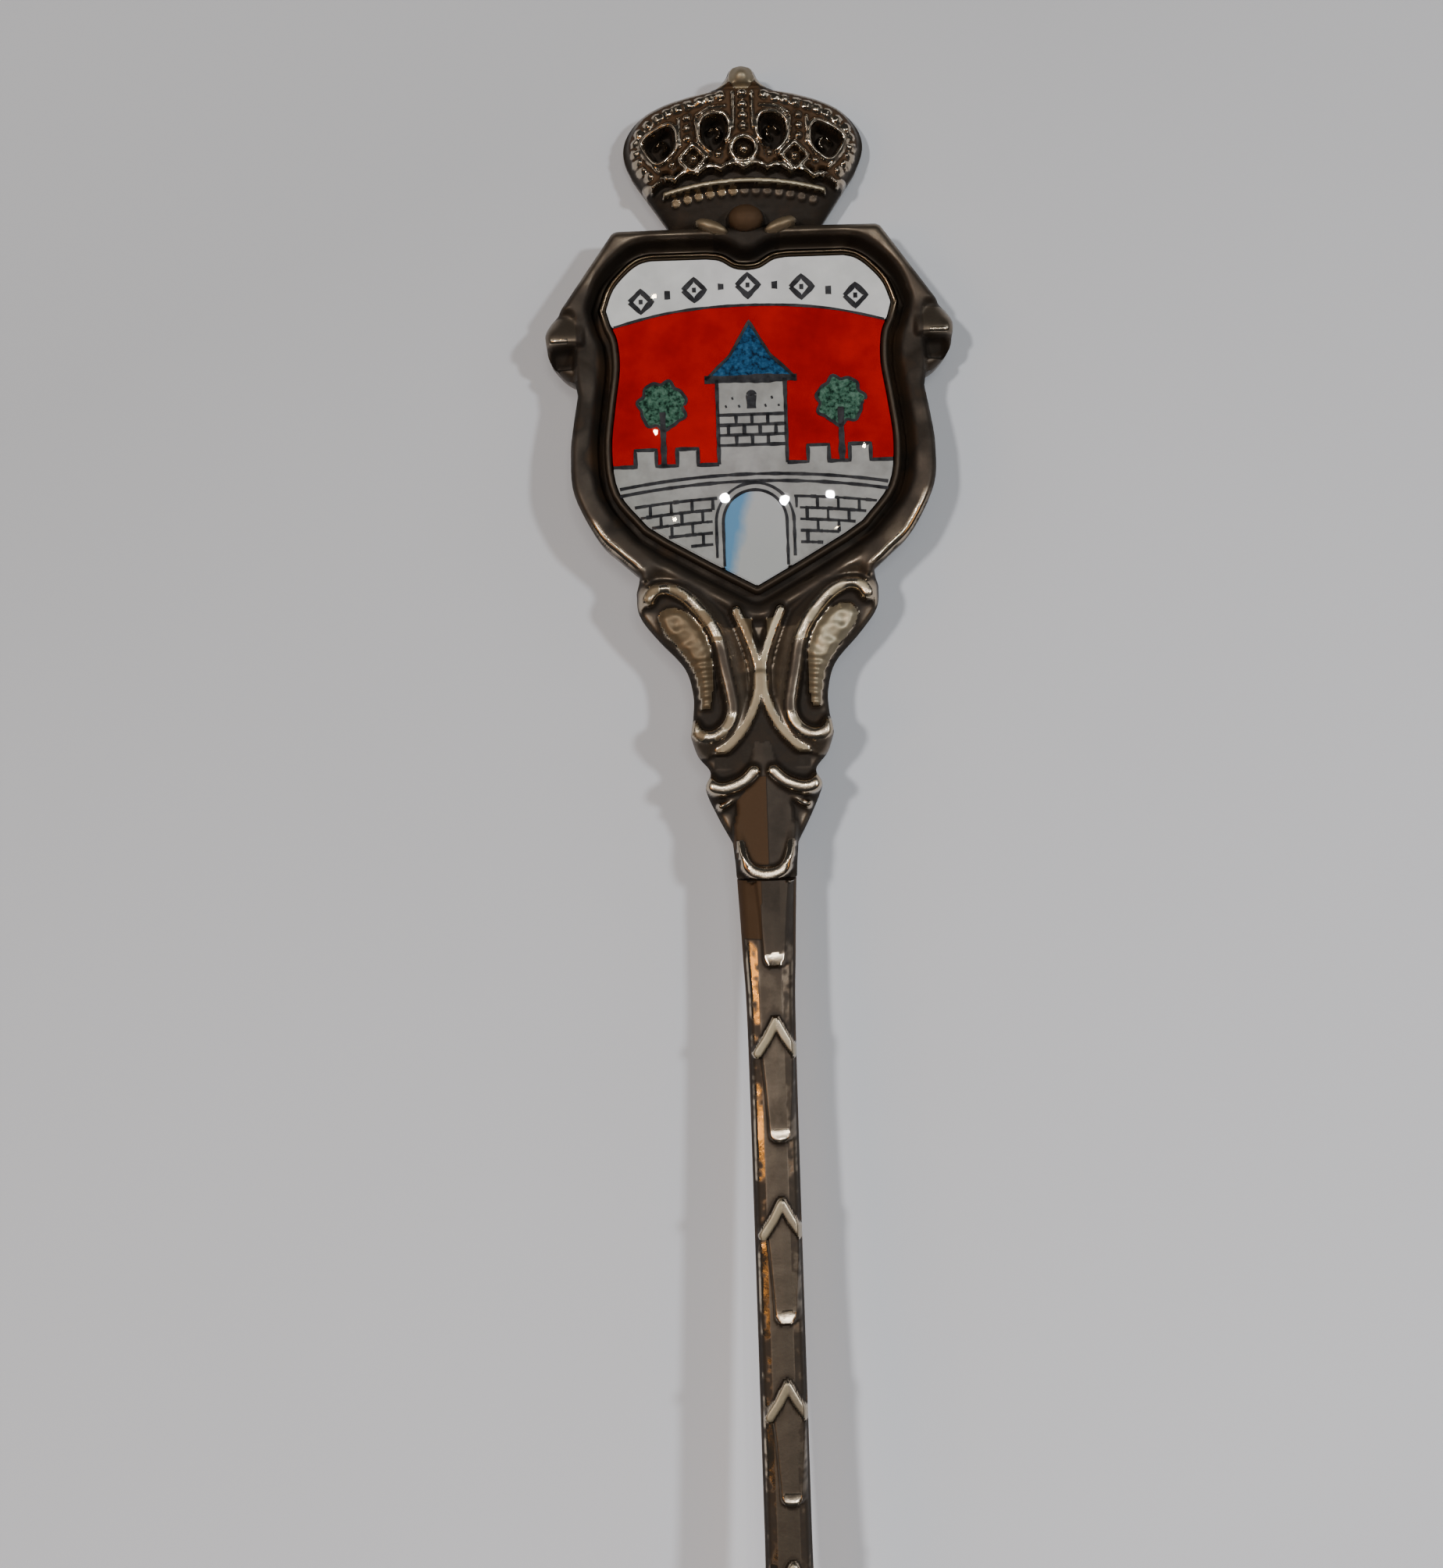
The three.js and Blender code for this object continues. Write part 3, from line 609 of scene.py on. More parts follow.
def arches(h, x, y, dome):
    """Beaded arches, the rows of beads inside them and their ribs; and marks of fixed tone."""
    marks = np.zeros(np.shape(x))
    for run in (TOP_ROW, SIDE_ROW):
        h, marks = beading(h, marks, x, y, run, dome)
    h = beads(h, x, y, [(0, v) for v in (22.95, 22.44, 21.95, 21.48)], 0.25, 0.25)
    h = beads(h, x, y, both([(2.5, v) for v in (22.02, 21.56, 21.1)]), 0.22, 0.3)
    for run in RIBS:
        d = trace(np.abs(x), y, smooth(run, 4))[0]
        h = lift(h, d < 0.1, dome - 0.22 + 0.16 * wire(d, 0.1))
    return h, marks


def fleurons(h, marks, u, y, dome):
    """A large ring in the middle, and a square one on its point at each side of it."""
    for cx, cy, radius in ((0, 20.45, 0.56), (2.3, 20.15, 0.47)):
        bead = np.hypot(u - cx, y - cy)
        d = 0.75 * (np.abs(u - cx) + np.abs(y - cy)) if cx else bead
        h = np.where(d < radius, dome - 0.6, h)
        h = lift(h, np.abs(d - radius) < 0.17, dome - 0.3 + 0.36 * wire(d - radius, 0.17))
        h = lift(h, bead < 0.29, dome - 0.5 + 0.5 * wire(bead, 0.29))
        marks = np.where((d < radius - 0.15) & (bead > 0.25), FIXED + 0.6, marks)
    return h, marks


def head_band(h, marks, x, y, dome, foot, below):
    """The band below the arches steps back, and carries a raised line and a row of pearls."""
    marks = np.where(below, 0, marks)
    h = np.where(below, dome - 0.75 - 0.38 * np.clip(foot - y, 0, 3), h)
    line = np.abs(y - foot + 0.3 - 0.008 * x * x)
    on_line = (line < 0.16) & (np.abs(x) < 3.7)
    h = lift(h, on_line, dome - 0.62 + 0.3 * band(line, 0.16))
    marks = np.where(on_line & (line < 0.14), FROSTED, marks)
    for k in range(-6, 7):
        cx = 0.52 * k
        cy = 18.8 - 0.036 * cx * cx
        d = np.hypot(x - cx, y - cy)
        h = lift(h, d < 0.22, crown_dome(cx) - 1.02 + 0.1 * band(d, 0.22))
        # painted light: the pearls left of the middle are pale and dull, those right of it dark
        marks = np.where(d < 0.19, DULL if k < 0 else FIXED + 0.75, marks)
    return h, marks


def ball_and_foot(h, marks, x, y, dome):
    """A ball with a collar on top; at the foot a smooth bead between two leaning petals."""
    ball = np.hypot(x, y - 23.78)
    h = lift(h, ball < 0.62, 2.0 + 1.0 * wire(ball, 0.62))
    marks = np.where(ball < 0.58, FIXED - 0.75, marks)
    h = np.where(np.abs(y - 23.3) < 0.08, np.minimum(h, dome - 0.45), h)
    h = np.where(y < 17.3, h - 1.2 * fall(y, 17.1, 17.3), h)
    bead = np.hypot(x / 0.82, (y - 17.5) / 0.66)
    h = lift(h, bead < 1, 2.15 + 0.6 * wire(bead, 1.0))
    lean = math.radians(21)
    ax, ay = np.abs(x) - 1.55, y - 17.16
    along = ax * math.cos(lean) + ay * math.sin(lean)
    petal = np.hypot(along / 0.82, (ay * math.cos(lean) - ax * math.sin(lean)) / 0.33)
    h = lift(h, petal < 1, 2.15 + 0.45 * wire(petal, 1.0))
    marks = np.where(petal < 0.95, DULL + 0.1, marks)
    return h, np.where(bead < 0.95, BROWN, marks)


def crown_height(x, y):
    """Height and tone of the crown: oxide, with painted light and shade."""
    u = np.abs(x)
    edge = -region(x, y, CROWN)
    y = y + PARALLAX
    dome = crown_dome(x)
    h = dome - 0.24 + 0.012 * grain(x, y, 0.5, 31)
    h, oxide_and_light = openings(h, u, y, dome)
    h, marks = arches(h, x, y, dome)
    h, marks = fleurons(h, marks, u, y, dome)
    h = beads(h, x, y, both([(1.15, 20.3), (3.22, 20.02)]), 0.19, 0.3)
    for cx, cy, half in GAPS:
        d = np.hypot(u - cx, (y - cy) * 1.3)
        h = np.where(d < half, np.minimum(h, dome - 0.75), h)
        oxide_and_light += 0.4 * (d < half + 0.03)
    # scalloped border along the foot of the arches
    foot = 19.42 - 0.034 * x * x
    scallop = foot + 0.2 + 0.22 * np.abs(np.sin(math.pi * x / 1.04))
    d = np.abs(y - scallop) * 0.85
    h = lift(h, d < 0.15, dome - 0.25 + 0.27 * band(d, 0.15))
    oxide_and_light -= 0.45 * (d < 0.13)
    h = beads(h, x, y, both([(3.85, 19.15)]), 0.22, 0.2)
    # crests are rubbed unevenly, and brown lies just below them
    worn = FIXED + np.clip(0.28 + 0.45 * grain(x, y, 0.45, 37), -0.2, 0.6)
    marks = np.where((h > dome - 0.16) & (marks == 0), worn, marks)
    marks = np.where((h > dome - 0.31) & (marks == 0) & (edge > 0.3), BROWN, marks)
    below = y < scallop - 0.15
    h, marks = head_band(h, marks, x, y, dome, foot, below)
    h, marks = ball_and_foot(h, marks, x, y, dome)
    # the band below the arches is darkened both by oxide and by painted shade, as it faces down
    oxide_and_light += 0.42 * below + 0.15 * fall(edge, 0.0, 0.5) * (y < 23) * (y > 17.3)
    h = h - np.where(y > 17.3, round_over(edge, 0.6) * np.where(below, 0.4, 1.0), 0)
    return np.maximum(h, 0.7) + 0.006 * grain(x, y, 0.3, 33), np.where(marks > 0, marks, oxide_and_light)


# ---- spoon blank: stem and bowl ------------------------------------------------------------
FINIAL_Y, FINIAL_Z = ORIGIN[1] / MM, ORIGIN[2] / MM  # the finial's zero, on the table
TILT = math.atan2(-ALONG[2], ALONG[1])
BOWL_HALF, BOWL_WIDE = 19.0, 12.0  # half its length and width
BOWL_EGG = 0.13
BOWL_Y = CAD_BOX[0][1] / MM + BOWL_HALF
RIM_Z = 6.7
BOWL_DEPTH, HOLLOW_DEPTH, BOWL_WALL = 6.6, 5.6, 1.0
NECK = BOWL_Y + BOWL_HALF
STEM_BACK, STEM_FACE = 0.1, 1.58
STEM_START = -12.62  # under the casting's end
ARCH_START = FINIAL_Y - 44 * math.cos(TILT)  # from here the stem arches to the bowl
PITCH = 8.27  # of the stem's pattern
FIRST_CHEVRON = -19.1
PATTERN_END = -45.0
NO_MARK = 9.0  # in place of a tone: the shape decides it


def slanted(y, height):
    """Height over the table of a plane parallel to the finial's back."""
    return FINIAL_Z - (y - FINIAL_Y) * math.tan(TILT) + height / math.cos(TILT)


def along_curve(y, points):
    """Values of a smooth curve through the points, which are listed towards the bowl."""
    curve = smooth(points, 8)
    return np.interp(y, curve[::-1, 0], curve[::-1, 1])


def stem_level(y, level, arch):
    """Height of a face of the straight stem, carried on along an arch towards the bowl."""
    start = [(at, slanted(at, level)) for at in (ARCH_START + 3, ARCH_START)]
    return np.where(y > ARCH_START, slanted(y, level), along_curve(y, start + arch))


def stem_under(y):
    """Height of the stem's back."""
    return stem_level(y, STEM_BACK, [(-14, 5.85), (-18, 5.4), (-21, 4.4), (-24, 3.45), (-27, 3.3)])


def stem_over(y):
    """Height of the stem's front, and of the bowl's rim."""
    return stem_level(y, STEM_FACE, [(-14, 7.32), (-18, 7.2), (-21, 6.95), (-24, 6.74), (-27, RIM_Z),
                                     (-60, RIM_Z)])


def bowl_place(y):
    """-1 at the bowl's tip, 1 at the neck."""
    return np.clip((y - BOWL_Y) / BOWL_HALF, -1, 1)


def half_width(y):
    """Half the spoon's width, from the casting over the stem to the bowl's tip."""
    top = FINIAL_Y - 12.6
    stem = along_curve(y, [(top, 1.36), (top - 3.4, 1.22), (top - 8, 1.1), (-4, 1.09), (-9, 1.1),
                           (-13, 1.2), (-17.5, 1.7), (-21, 2.7), (-24, 3.6)])
    t = bowl_place(y)
    bowl = BOWL_WIDE * (1 + BOWL_EGG * t) * np.sqrt(1 - t * t)
    joined = blend_max(stem, bowl, 0.9 * fall(y, -22, -18))
    return np.where(y < -24, bowl, joined + (bowl - joined) * fall(y, -24, -22.5))


def stem_relief(u, v):
    """A chevron and a tongue that turns up at its end, over and over; and tones of their crests."""
    wavy = 1 + 0.1 * grain(0 * u, v, 1.3, 42)
    h = -0.36 * wavy * np.maximum(np.abs(u) - 0.5, 0) - 0.04 * np.abs(u)
    marks = np.full(np.shape(u), NO_MARK)
    for k in range(-1, 4):
        x, down = u - 0.17, FIRST_CHEVRON - k * PITCH - v - 0.3 * (k < 0)
        half = np.interp(down, [0.35, 1.5, 3.0, 4.9, 5.2, 5.5], [0.15, 0.78, 0.64, 0.5, 0.45, 0.25])
        half = half * np.where(x < 0, 0.82, 1)
        curl = 0.2 * np.clip(down - 4.75 + 0.4 * x * x, 0, 0.8) ** 2
        tongue = 0.12 + 0.008 * down + curl - 1.2 * np.maximum(np.abs(x) - half, 0) - 0.04 * np.abs(x)
        tongue -= 2.0 * np.maximum(down - 5.45 + 0.3 * x * x, 0)
        h = lift(h, (down > 0.35) & (down < 5.75), tongue)
        d = trace(np.abs(x), -down, [[0, 0], [0.4, -0.75], [0.88, -1.45]])[0]
        h = lift(h, d < 0.25, 0.1 + 0.2 * band(d, 0.25))
        # painted light: each chevron's left leg is duller and its right leg brighter, as light falls on
        # them
        marks = np.where(d < 0.21, np.where(x < 0, -0.66, -0.36), marks)
        lip = np.hypot((x - 0.05) / 0.46, (down - 5.17 + 0.3 * x * x) / 0.27) < 1
        marks = np.where(lip, -0.12, marks)
    return h + 0.002 * grain(u, v, 1.0, 41), marks


def ring_places():
    """Places of the rings along the spoon: over the bowl, the arched stem and the straight one."""
    tip = BOWL_Y - BOWL_HALF * np.cos(np.linspace(0.02, math.pi, 120))
    arch = np.arange(NECK + 0.3, ARCH_START, 0.3)
    straight = np.arange(ARCH_START, FINIAL_Y + STEM_START * math.cos(TILT) + 0.1, 0.1)
    return np.concatenate([tip[:-1], arch, straight])[:, None]


def flat_share(y, in_bowl):
    """Share of the half width that the front takes before it rounds off to the side."""
    t = bowl_place(y)
    inner = np.sqrt(np.clip((BOWL_HALF - BOWL_WALL) ** 2 - (BOWL_HALF * t) ** 2, 0, None))
    flat = inner / (BOWL_HALF * np.sqrt(np.maximum(1 - t * t, 1e-6)))
    return np.where(in_bowl > 0, np.maximum(flat, 0.3), 0.72)


def spoon_front(x, y, v, in_bowl):
    """Height of the front before its edges are rounded, and the tones of the stem's pattern."""
    pattern, marks = stem_relief(x, v)
    patterned = ease(v, PATTERN_END - 0.2, PATTERN_END + 0.1)
    bevel = -0.36 * np.maximum(np.abs(x) - 0.5, 0) * (1 - patterned) * (y > -18)
    front = stem_over(y) + pattern * patterned + bevel * (1 - in_bowl)
    t = bowl_place(y)
    ratio = BOWL_WIDE / BOWL_HALF * (1 + BOWL_EGG * t)
    q = ((BOWL_HALF * t) ** 2 + (x / ratio) ** 2) / (BOWL_HALF - BOWL_WALL) ** 2
    hollow = RIM_Z - HOLLOW_DEPTH * np.clip(1 - q, 0, 1) ** 0.66
    return np.where((q < 1) & (y < NECK), np.minimum(front, hollow), front), marks


def spoon_back(y):
    """Height of the back along the middle line."""
    bowl = RIM_Z - 0.35 - (BOWL_DEPTH - 0.36) * (1 - bowl_place(y) ** 2) ** 0.55
    stem = stem_under(y)
    deepest = np.where(y < NECK, blend_min(stem, bowl, 0.3), stem)
    return np.where(y < -27, bowl, deepest)


def spoon_tones(x, y, v, share, front, marks):
    """Hollowness of the front: worn flats, bevels rubbed bright in patches that are painted glints,
    stronger on the left, and a brown patch on the left below the calyx that is painted warm light.
    """
    worn = np.interp(v, [-45, -30, -17, -14], [0.66, 0.66, 0.74, 0.9])
    worn = worn + 2.0 * (soften(front, FINE) - front)
    # painted glints: the bevels are rubbed bright in patches placed where glints show, more on the left
    # than on the right
    rub_and_glint = 0.5 + 0.5 * np.cos(2 * math.pi * (v + 17.2) / 7.1)
    rub_and_glint = rub_and_glint + 0.3 * grain(2 * x, v, 1.2, 43) + 0.3 * grain(x, v, 0.4, 44)
    rub_and_glint = np.clip(rub_and_glint, 0, 1) ** 1.5 * fall(v, -16.0, -15.0)
    at_side = np.abs(share) > 0.88
    on_stem = v > PATTERN_END
    on_bevel = (np.abs(x) > 0.55) & ~at_side & on_stem
    worn = np.where(on_bevel, 0.85 - 0.7 * rub_and_glint * np.where(x < 0, 1, 0.35), worn)
    # painted warm light: brown on the left just below the calyx
    worn = np.where((x < -0.3) & (v > -15.4) & ~at_side, BROWN - FIXED, worn)
    worn = np.where(y < NECK, 0.34, worn + 0.4 * at_side)
    return np.where((marks < NO_MARK) & on_stem, marks, np.clip(worn, 0.1, BROWN - FIXED))


def spoon_blank():
    """Closed rings from the bowl's tip to the casting, each a front and a back run."""
    y = ring_places()
    w = half_width(y)
    in_bowl = fall(y, -24, -20)
    flat = flat_share(y, in_bowl)
    middle, edge = np.linspace(0, 1, 21), np.linspace(0, 1, 9)[1:]
    middle = 0.5 * middle + 0.5 * np.sin(0.5 * math.pi * middle)
    right = np.concatenate([flat * middle, flat + (1 - flat) * np.sin(0.5 * math.pi * edge)], 1)
    share = np.concatenate([-right[:, ::-1], right[:, 1:]], 1)
    x = share * w
    v = (y - FINIAL_Y - STEM_FACE * math.sin(TILT)) / math.cos(TILT) + 0 * x
    front, marks = spoon_front(x, y, v, in_bowl)
    # front and back meet in a rounded side
    side = stem_under(y) + 0.45 * (stem_over(y) - stem_under(y))
    side = (RIM_Z - 0.35) * in_bowl + side * (1 - in_bowl)
    gone = np.clip((np.abs(share) - flat) / (1 - flat), 0, 1)
    power = 2 + 2 * in_bowl
    front = side + (front - side) * np.clip(1 - gone ** power, 0, 1) ** (1 / power)
    cosine = np.cos(np.linspace(0, math.pi, 42)[1:-1])[None, :]
    bulge = (1 - np.abs(cosine) ** (4 - 2 * in_bowl)) ** (0.4 + 0.15 * in_bowl)
    back = side - (side - spoon_back(y)) * bulge
    rings = np.concatenate([np.stack([x, y + 0 * x, front], 2),
                            np.stack([w * cosine, y + 0 * cosine, back], 2)], 1)
    tones = spoon_tones(x, y, v, share, front, marks)
    values = np.concatenate([tones, np.full(bulge.shape, BACK_HOLLOW)], 1)
    rows, columns = rings.shape[:2]
    number = np.arange(rows * columns).reshape(rows, columns)
    after = np.roll(number, -1, axis=1)
    quads = np.stack([number[:-1], after[:-1], after[1:], number[1:]], 2).reshape(-1, 4)
    ends = [number[0][::-1].tolist(), number[-1].tolist()]
    return rings.reshape(-1, 3) * MM, quads.tolist() + ends, values.ravel()


# ---- badge ---------------------------------------------------------------------------------
CEMENT_BACK = 0.83
TRAY_BACK, TRAY_FLOOR, TRAY_TOP = 1.0, 1.2, 1.72
ENAMEL_FLOOR, ENAMEL_TOP = 1.21, 1.58
LINE_FOOT, LINE_TOP = ENAMEL_TOP - 0.02, 1.605
LINE_SPREAD = 1.35  # how far painted lines ran in the firing
FLUX_FLOOR = 1.63
DOME_TOP, DOME_RADIUS = 2.18, 110.0
BANNER = np.vstack([smooth([[-7.2, 12.35], [-3.6, 13.2], [0, 13.45], [3.6, 13.2], [7.2, 12.35]]),
                    [[8, 18], [-8, 18]]])
WALL_TOP, MERLON, NOTCH = 7.0, 0.95, 0.75
KEEP_HALF, KEEP_TOP = 1.55, 10.1
GATE_HALF, GATE_SPRING = 1.45, 3.6
TREE_X, TREE_Y, TREE_RADIUS = 4.05, 9.0, 1.15
ROOF = [[-2.0, KEEP_TOP], [2.0, KEEP_TOP], [0.9, 11.2], [0, 12.7], [-0.9, 11.2]]


def arc(cx, cy, radius, start, end, steps=20):
    """Points of an arc, its angles in degrees from the right."""
    angles = np.radians(np.linspace(start, end, steps))
    return np.stack([cx + radius * np.cos(angles), cy + radius * np.sin(angles)], 1)


def battlement():
    """The wall's top from the keep to the right-hand side."""
    low = WALL_TOP - NOTCH
    points = [[KEEP_HALF, low]]
    for k in (1, 2):
        left = KEEP_HALF + (2 * k - 1) * MERLON
        points += [[left, low], [left, WALL_TOP], [left + MERLON, WALL_TOP], [left + MERLON, low]]
    return np.array(points + [[8, low]])


def castle():
    """Outline of the keep and the wall, which runs on below the picture."""
    right = np.vstack([[[KEEP_HALF, KEEP_TOP]], battlement(), [[8, -2]]])
    return np.vstack([right, (right * [-1, 1])[::-1]])


def foliage(side):
    """Wavy outline of a tree's crown."""
    angles = np.linspace(0, 2 * math.pi, 73)[:-1]
    radius = TREE_RADIUS * (0.92 + 0.07 * np.sin(7 * angles + side) + 0.04 * np.sin(11 * angles))
    return np.stack([side * TREE_X + radius * np.cos(angles), TREE_Y + radius * np.sin(angles)], 1)


GATE = np.vstack([[[GATE_HALF, -2]], arc(0, GATE_SPRING, GATE_HALF, 0, 180), [[-GATE_HALF, -2]]])


def cement_height(x, y):
    """A plain bed, just short of the tray's back."""
    return TRAY_BACK - 0.025 + 0 * x, np.zeros(np.shape(x))


def tray_height(x, y):
    """A floor inside a raised border."""
    d = region(x, y, PICTURE)
    border = 1.35 + (TRAY_TOP - 1.35) * wire(d - 0.5 * BADGE_RIM, 0.55 * BADGE_RIM)
    return np.where(d > 0, border, TRAY_FLOOR), FIXED + 0.8 - 0.35 * ease(y, 12.5, 13.5) * (d > 0)


def enamel_height(x, y):
    """A flat tile, very slightly uneven."""
    return ENAMEL_TOP + 0.004 * grain(x, y, 1.5, 51), np.zeros(np.shape(x))


def dome_height(x, y):
    """A shallow dome whose edge is drawn down a little."""
    edge = -region(x, y, PICTURE)
    dome = DOME_TOP - (x * x + (y - 8) ** 2) / (2 * DOME_RADIUS)
    return dome - 0.02 * (1 - np.clip(edge / 0.3, 0, 1)) ** 2, np.zeros(np.shape(x))


def ribbons(runs):
    """Painted lines as thin flat bars, in metres.  Each run is points and a width."""
    points, faces = [], []
    for number, (run, width) in enumerate(runs):
        p = np.asarray(run, float)
        ahead = np.gradient(p, axis=0)
        ahead /= np.maximum(np.hypot(*ahead.T), 1e-9)[:, None]
        aside = np.stack([-ahead[:, 1], ahead[:, 0]], 1)
        uneven = 1 + 0.18 * grain(p[:, 0] + number, p[:, 1], 0.8, 61)
        reach = 0.5 * LINE_SPREAD * width * uneven[:, None] * aside
        base = len(points)
        for centre, off in zip(p, reach):
            for sign, z in ((1, LINE_TOP), (-1, LINE_TOP), (-1, LINE_FOOT), (1, LINE_FOOT)):
                points.append([*(centre + sign * off), z])
        for k in range(len(p) - 1):
            a, b = base + 4 * k, base + 4 * k + 4
            for i in range(4):
                j = (i + 1) % 4
                faces.append([a + i, b + i, b + j, a + j])
        last = base + 4 * (len(p) - 1)
        faces.append([base, base + 1, base + 2, base + 3])
        faces.append([last + 3, last + 2, last + 1, last])
    return place(points), faces


def line(*corners, width=0.13):
    """A straight or broken line, cut into short steps."""
    run = []
    for (ax, ay), (bx, by) in zip(corners[:-1], corners[1:]):
        steps = max(2, int(math.hypot(bx - ax, by - ay) / 0.12))
        for k in range(steps):
            run.append([ax + (bx - ax) * k / steps, ay + (by - ay) * k / steps])
    return run + [list(corners[-1])], width


def inside_wall(x, y):
    """Inside the picture and clear of the gate and its surround."""
    gate = (abs(x) < 1.95) if y < GATE_SPRING else math.hypot(x, y - GATE_SPRING) < 1.95
    near = region(np.array([x]), np.array([y]), PICTURE)[0] > -0.25
    return not gate and not near


def battlement_and_trees():
    """Edges of the wall's top and of the keep, and the trees."""
    runs = []
    for side in (-1, 1):
        edge = [(side * x, y) for x, y in battlement()[:-1]] + [(side * 6.35, WALL_TOP - NOTCH)]
        runs.append(line(*edge))
        runs.append(line((side * KEEP_HALF, WALL_TOP - NOTCH), (side * KEEP_HALF, KEEP_TOP)))
        runs.append((foliage(side), 0.1))
        runs.append(line((side * TREE_X, TREE_Y - 0.3), (side * TREE_X, WALL_TOP - NOTCH), width=0.2))
    return runs


def gateway():
    """Two mouldings over the gate, and its two rings with their jambs."""
    runs = []
    xs = np.linspace(-6.1, 6.1, 60)
    for height in (5.45, 5.77):
        runs.append((np.stack([xs, height - 0.014 * xs * xs], 1), 0.11))
    for radius, bottom in ((GATE_HALF, 1.6), (GATE_HALF + 0.32, 2.0)):
        runs.append((arc(0, GATE_SPRING, radius, 0, 180, 30), 0.1))
        for side in (-1, 1):
            runs.append(line((side * radius, GATE_SPRING), (side * radius, bottom), width=0.1))
    return runs


def wall_courses():
    """Courses of the wall, which sag to both sides, and the joints between its stones."""
    runs = []
    for row in range(6):
        v = 4.75 - 0.52 * row
        for x in np.arange(-6.2, 6.2, 0.25):
            if inside_wall(x, v) and inside_wall(x + 0.25, v):
                ends = [(end, v - 0.012 * end * end) for end in (x, x + 0.26)]
                runs.append(line(*ends, width=0.1))
        for k in range(-7, 8):
            x = 0.95 * k + 0.47 * (row % 2)
            top = v - 0.012 * x * x
            if inside_wall(x, v) and inside_wall(x, v - 0.5):
                runs.append(line((x, top), (x, top - 0.52), width=0.1))
    return runs


def keep_lines():
    """Courses and joints of the keep, dots above them, the window, the eaves and the roof's edges."""
    runs = []
    for row in range(4):
        v = 7.1 + 0.46 * row
        runs.append(line((-KEEP_HALF, v), (KEEP_HALF, v), width=0.11))
        for k in range(-2, 3):
            x = 0.72 * k + 0.36 * (row % 2)
            if abs(x) < KEEP_HALF - 0.15 and row < 3:
                runs.append(line((x, v), (x, v + 0.46), width=0.11))
    for k in range(10):
        x = -1.2 + 0.6 * (k % 5) + 0.3 * (k > 4)
        v = 8.85 + 0.36 * (k // 5)
        if 0.5 < abs(x) < 1.4:
            runs.append(line((x, v), (x + 0.08, v + 0.03), width=0.09))
    runs.append(line((0, 8.75), (0, 9.35), width=0.3))
    runs.append((arc(0, 9.35, 0.105, 0, 180, 8), 0.2))
    runs.append(line((-2.1, KEEP_TOP), (2.1, KEEP_TOP), width=0.26))
    runs.append(line((-2.05, KEEP_TOP), (-0.9, 11.2), (0, 12.72), (0.9, 11.2), (2.05, KEEP_TOP), width=0.1))
    return runs


def castle_lines():
    """All painted lines of the castle and the trees."""
    return battlement_and_trees() + gateway() + wall_courses() + keep_lines()


def banner_lines():
    """A plain border ornament: lozenges with dots between them, and a line below."""
    runs = []
    for k in range(-4, 5):
        x = 1.22 * k
        y = 14.36 - 0.026 * x * x
        if k % 2:
            runs.append(line((x - 0.13, y), (x + 0.13, y), width=0.26))
        else:
            corners = [(x - 0.5, y), (x, y + 0.5), (x + 0.5, y), (x, y - 0.5), (x - 0.5, y)]
            runs.append(line(*corners, width=0.17))
            runs.append(line((x - 0.09, y), (x + 0.09, y), width=0.18))
    xs = np.linspace(-6.15, 6.15, 60)
    runs.append((np.stack([xs, np.interp(xs, BANNER[:-2, 0], BANNER[:-2, 1])], 1), 0.09))
    return runs


# ---- materials -----------------------------------------------------------------------------
def new_material(name):
    """A material with its node tree and shader."""
    material = bpy.data.materials.new(name)
    material.use_nodes = True
    tree = material.node_tree
    return material, tree, tree.nodes["Principled BSDF"]


def noise(tree, scale, detail=4.0, roughness=0.55):
    """Noise on the object's own coordinates, in metres."""
    node = tree.nodes.new("ShaderNodeTexNoise")
    node.inputs["Scale"].default_value = scale
    node.inputs["Detail"].default_value = detail
    node.inputs["Roughness"].default_value = roughness
    coords = tree.nodes.new("ShaderNodeTexCoord")
    tree.links.new(coords.outputs["Object"], node.inputs["Vector"])
    return node.outputs["Fac"]


def across_and_along(tree):
    """The object's own x and y, in metres."""
    coords = tree.nodes.new("ShaderNodeTexCoord")
    split = tree.nodes.new("ShaderNodeSeparateXYZ")
    tree.links.new(coords.outputs["Object"], split.inputs[0])
    return split.outputs[0], split.outputs[1]


def ramp(tree, value, stops):
    """Colours, or grey values, that follow a value from stop to stop."""
    node = tree.nodes.new("ShaderNodeValToRGB")
    elements = node.color_ramp.elements
    while len(elements) < len(stops):
        elements.new(0.5)
    for element, (at, colour) in zip(elements, stops):
        grey = isinstance(colour, (int, float))
        element.position = at
        element.color = (colour, colour, colour, 1) if grey else (*colour, 1)
    tree.links.new(value, node.inputs["Fac"])
    return node.outputs["Color"]


def math_node(tree, operation, a, b):
    """Two values joined, each a number or a socket."""
    node = tree.nodes.new("ShaderNodeMath")
    node.operation = operation
    for socket, value in zip(node.inputs, (a, b)):
        if isinstance(value, (int, float)):
            socket.default_value = value
        else:
            tree.links.new(value, socket)
    return node.outputs[0]


def plus(tree, a, b):
    return math_node(tree, "ADD", a, b)


def minus(tree, a, b):
    return math_node(tree, "SUBTRACT", a, b)


def times(tree, a, b):
    return math_node(tree, "MULTIPLY", a, b)


def bump(tree, value, distance):
    """A normal that follows a value as if it were a height, with the given reach in metres."""
    node = tree.nodes.new("ShaderNodeBump")
    node.inputs["Distance"].default_value = distance
    node.inputs["Strength"].default_value = 1.0
    tree.links.new(value, node.inputs["Height"])
    return node.outputs["Normal"]


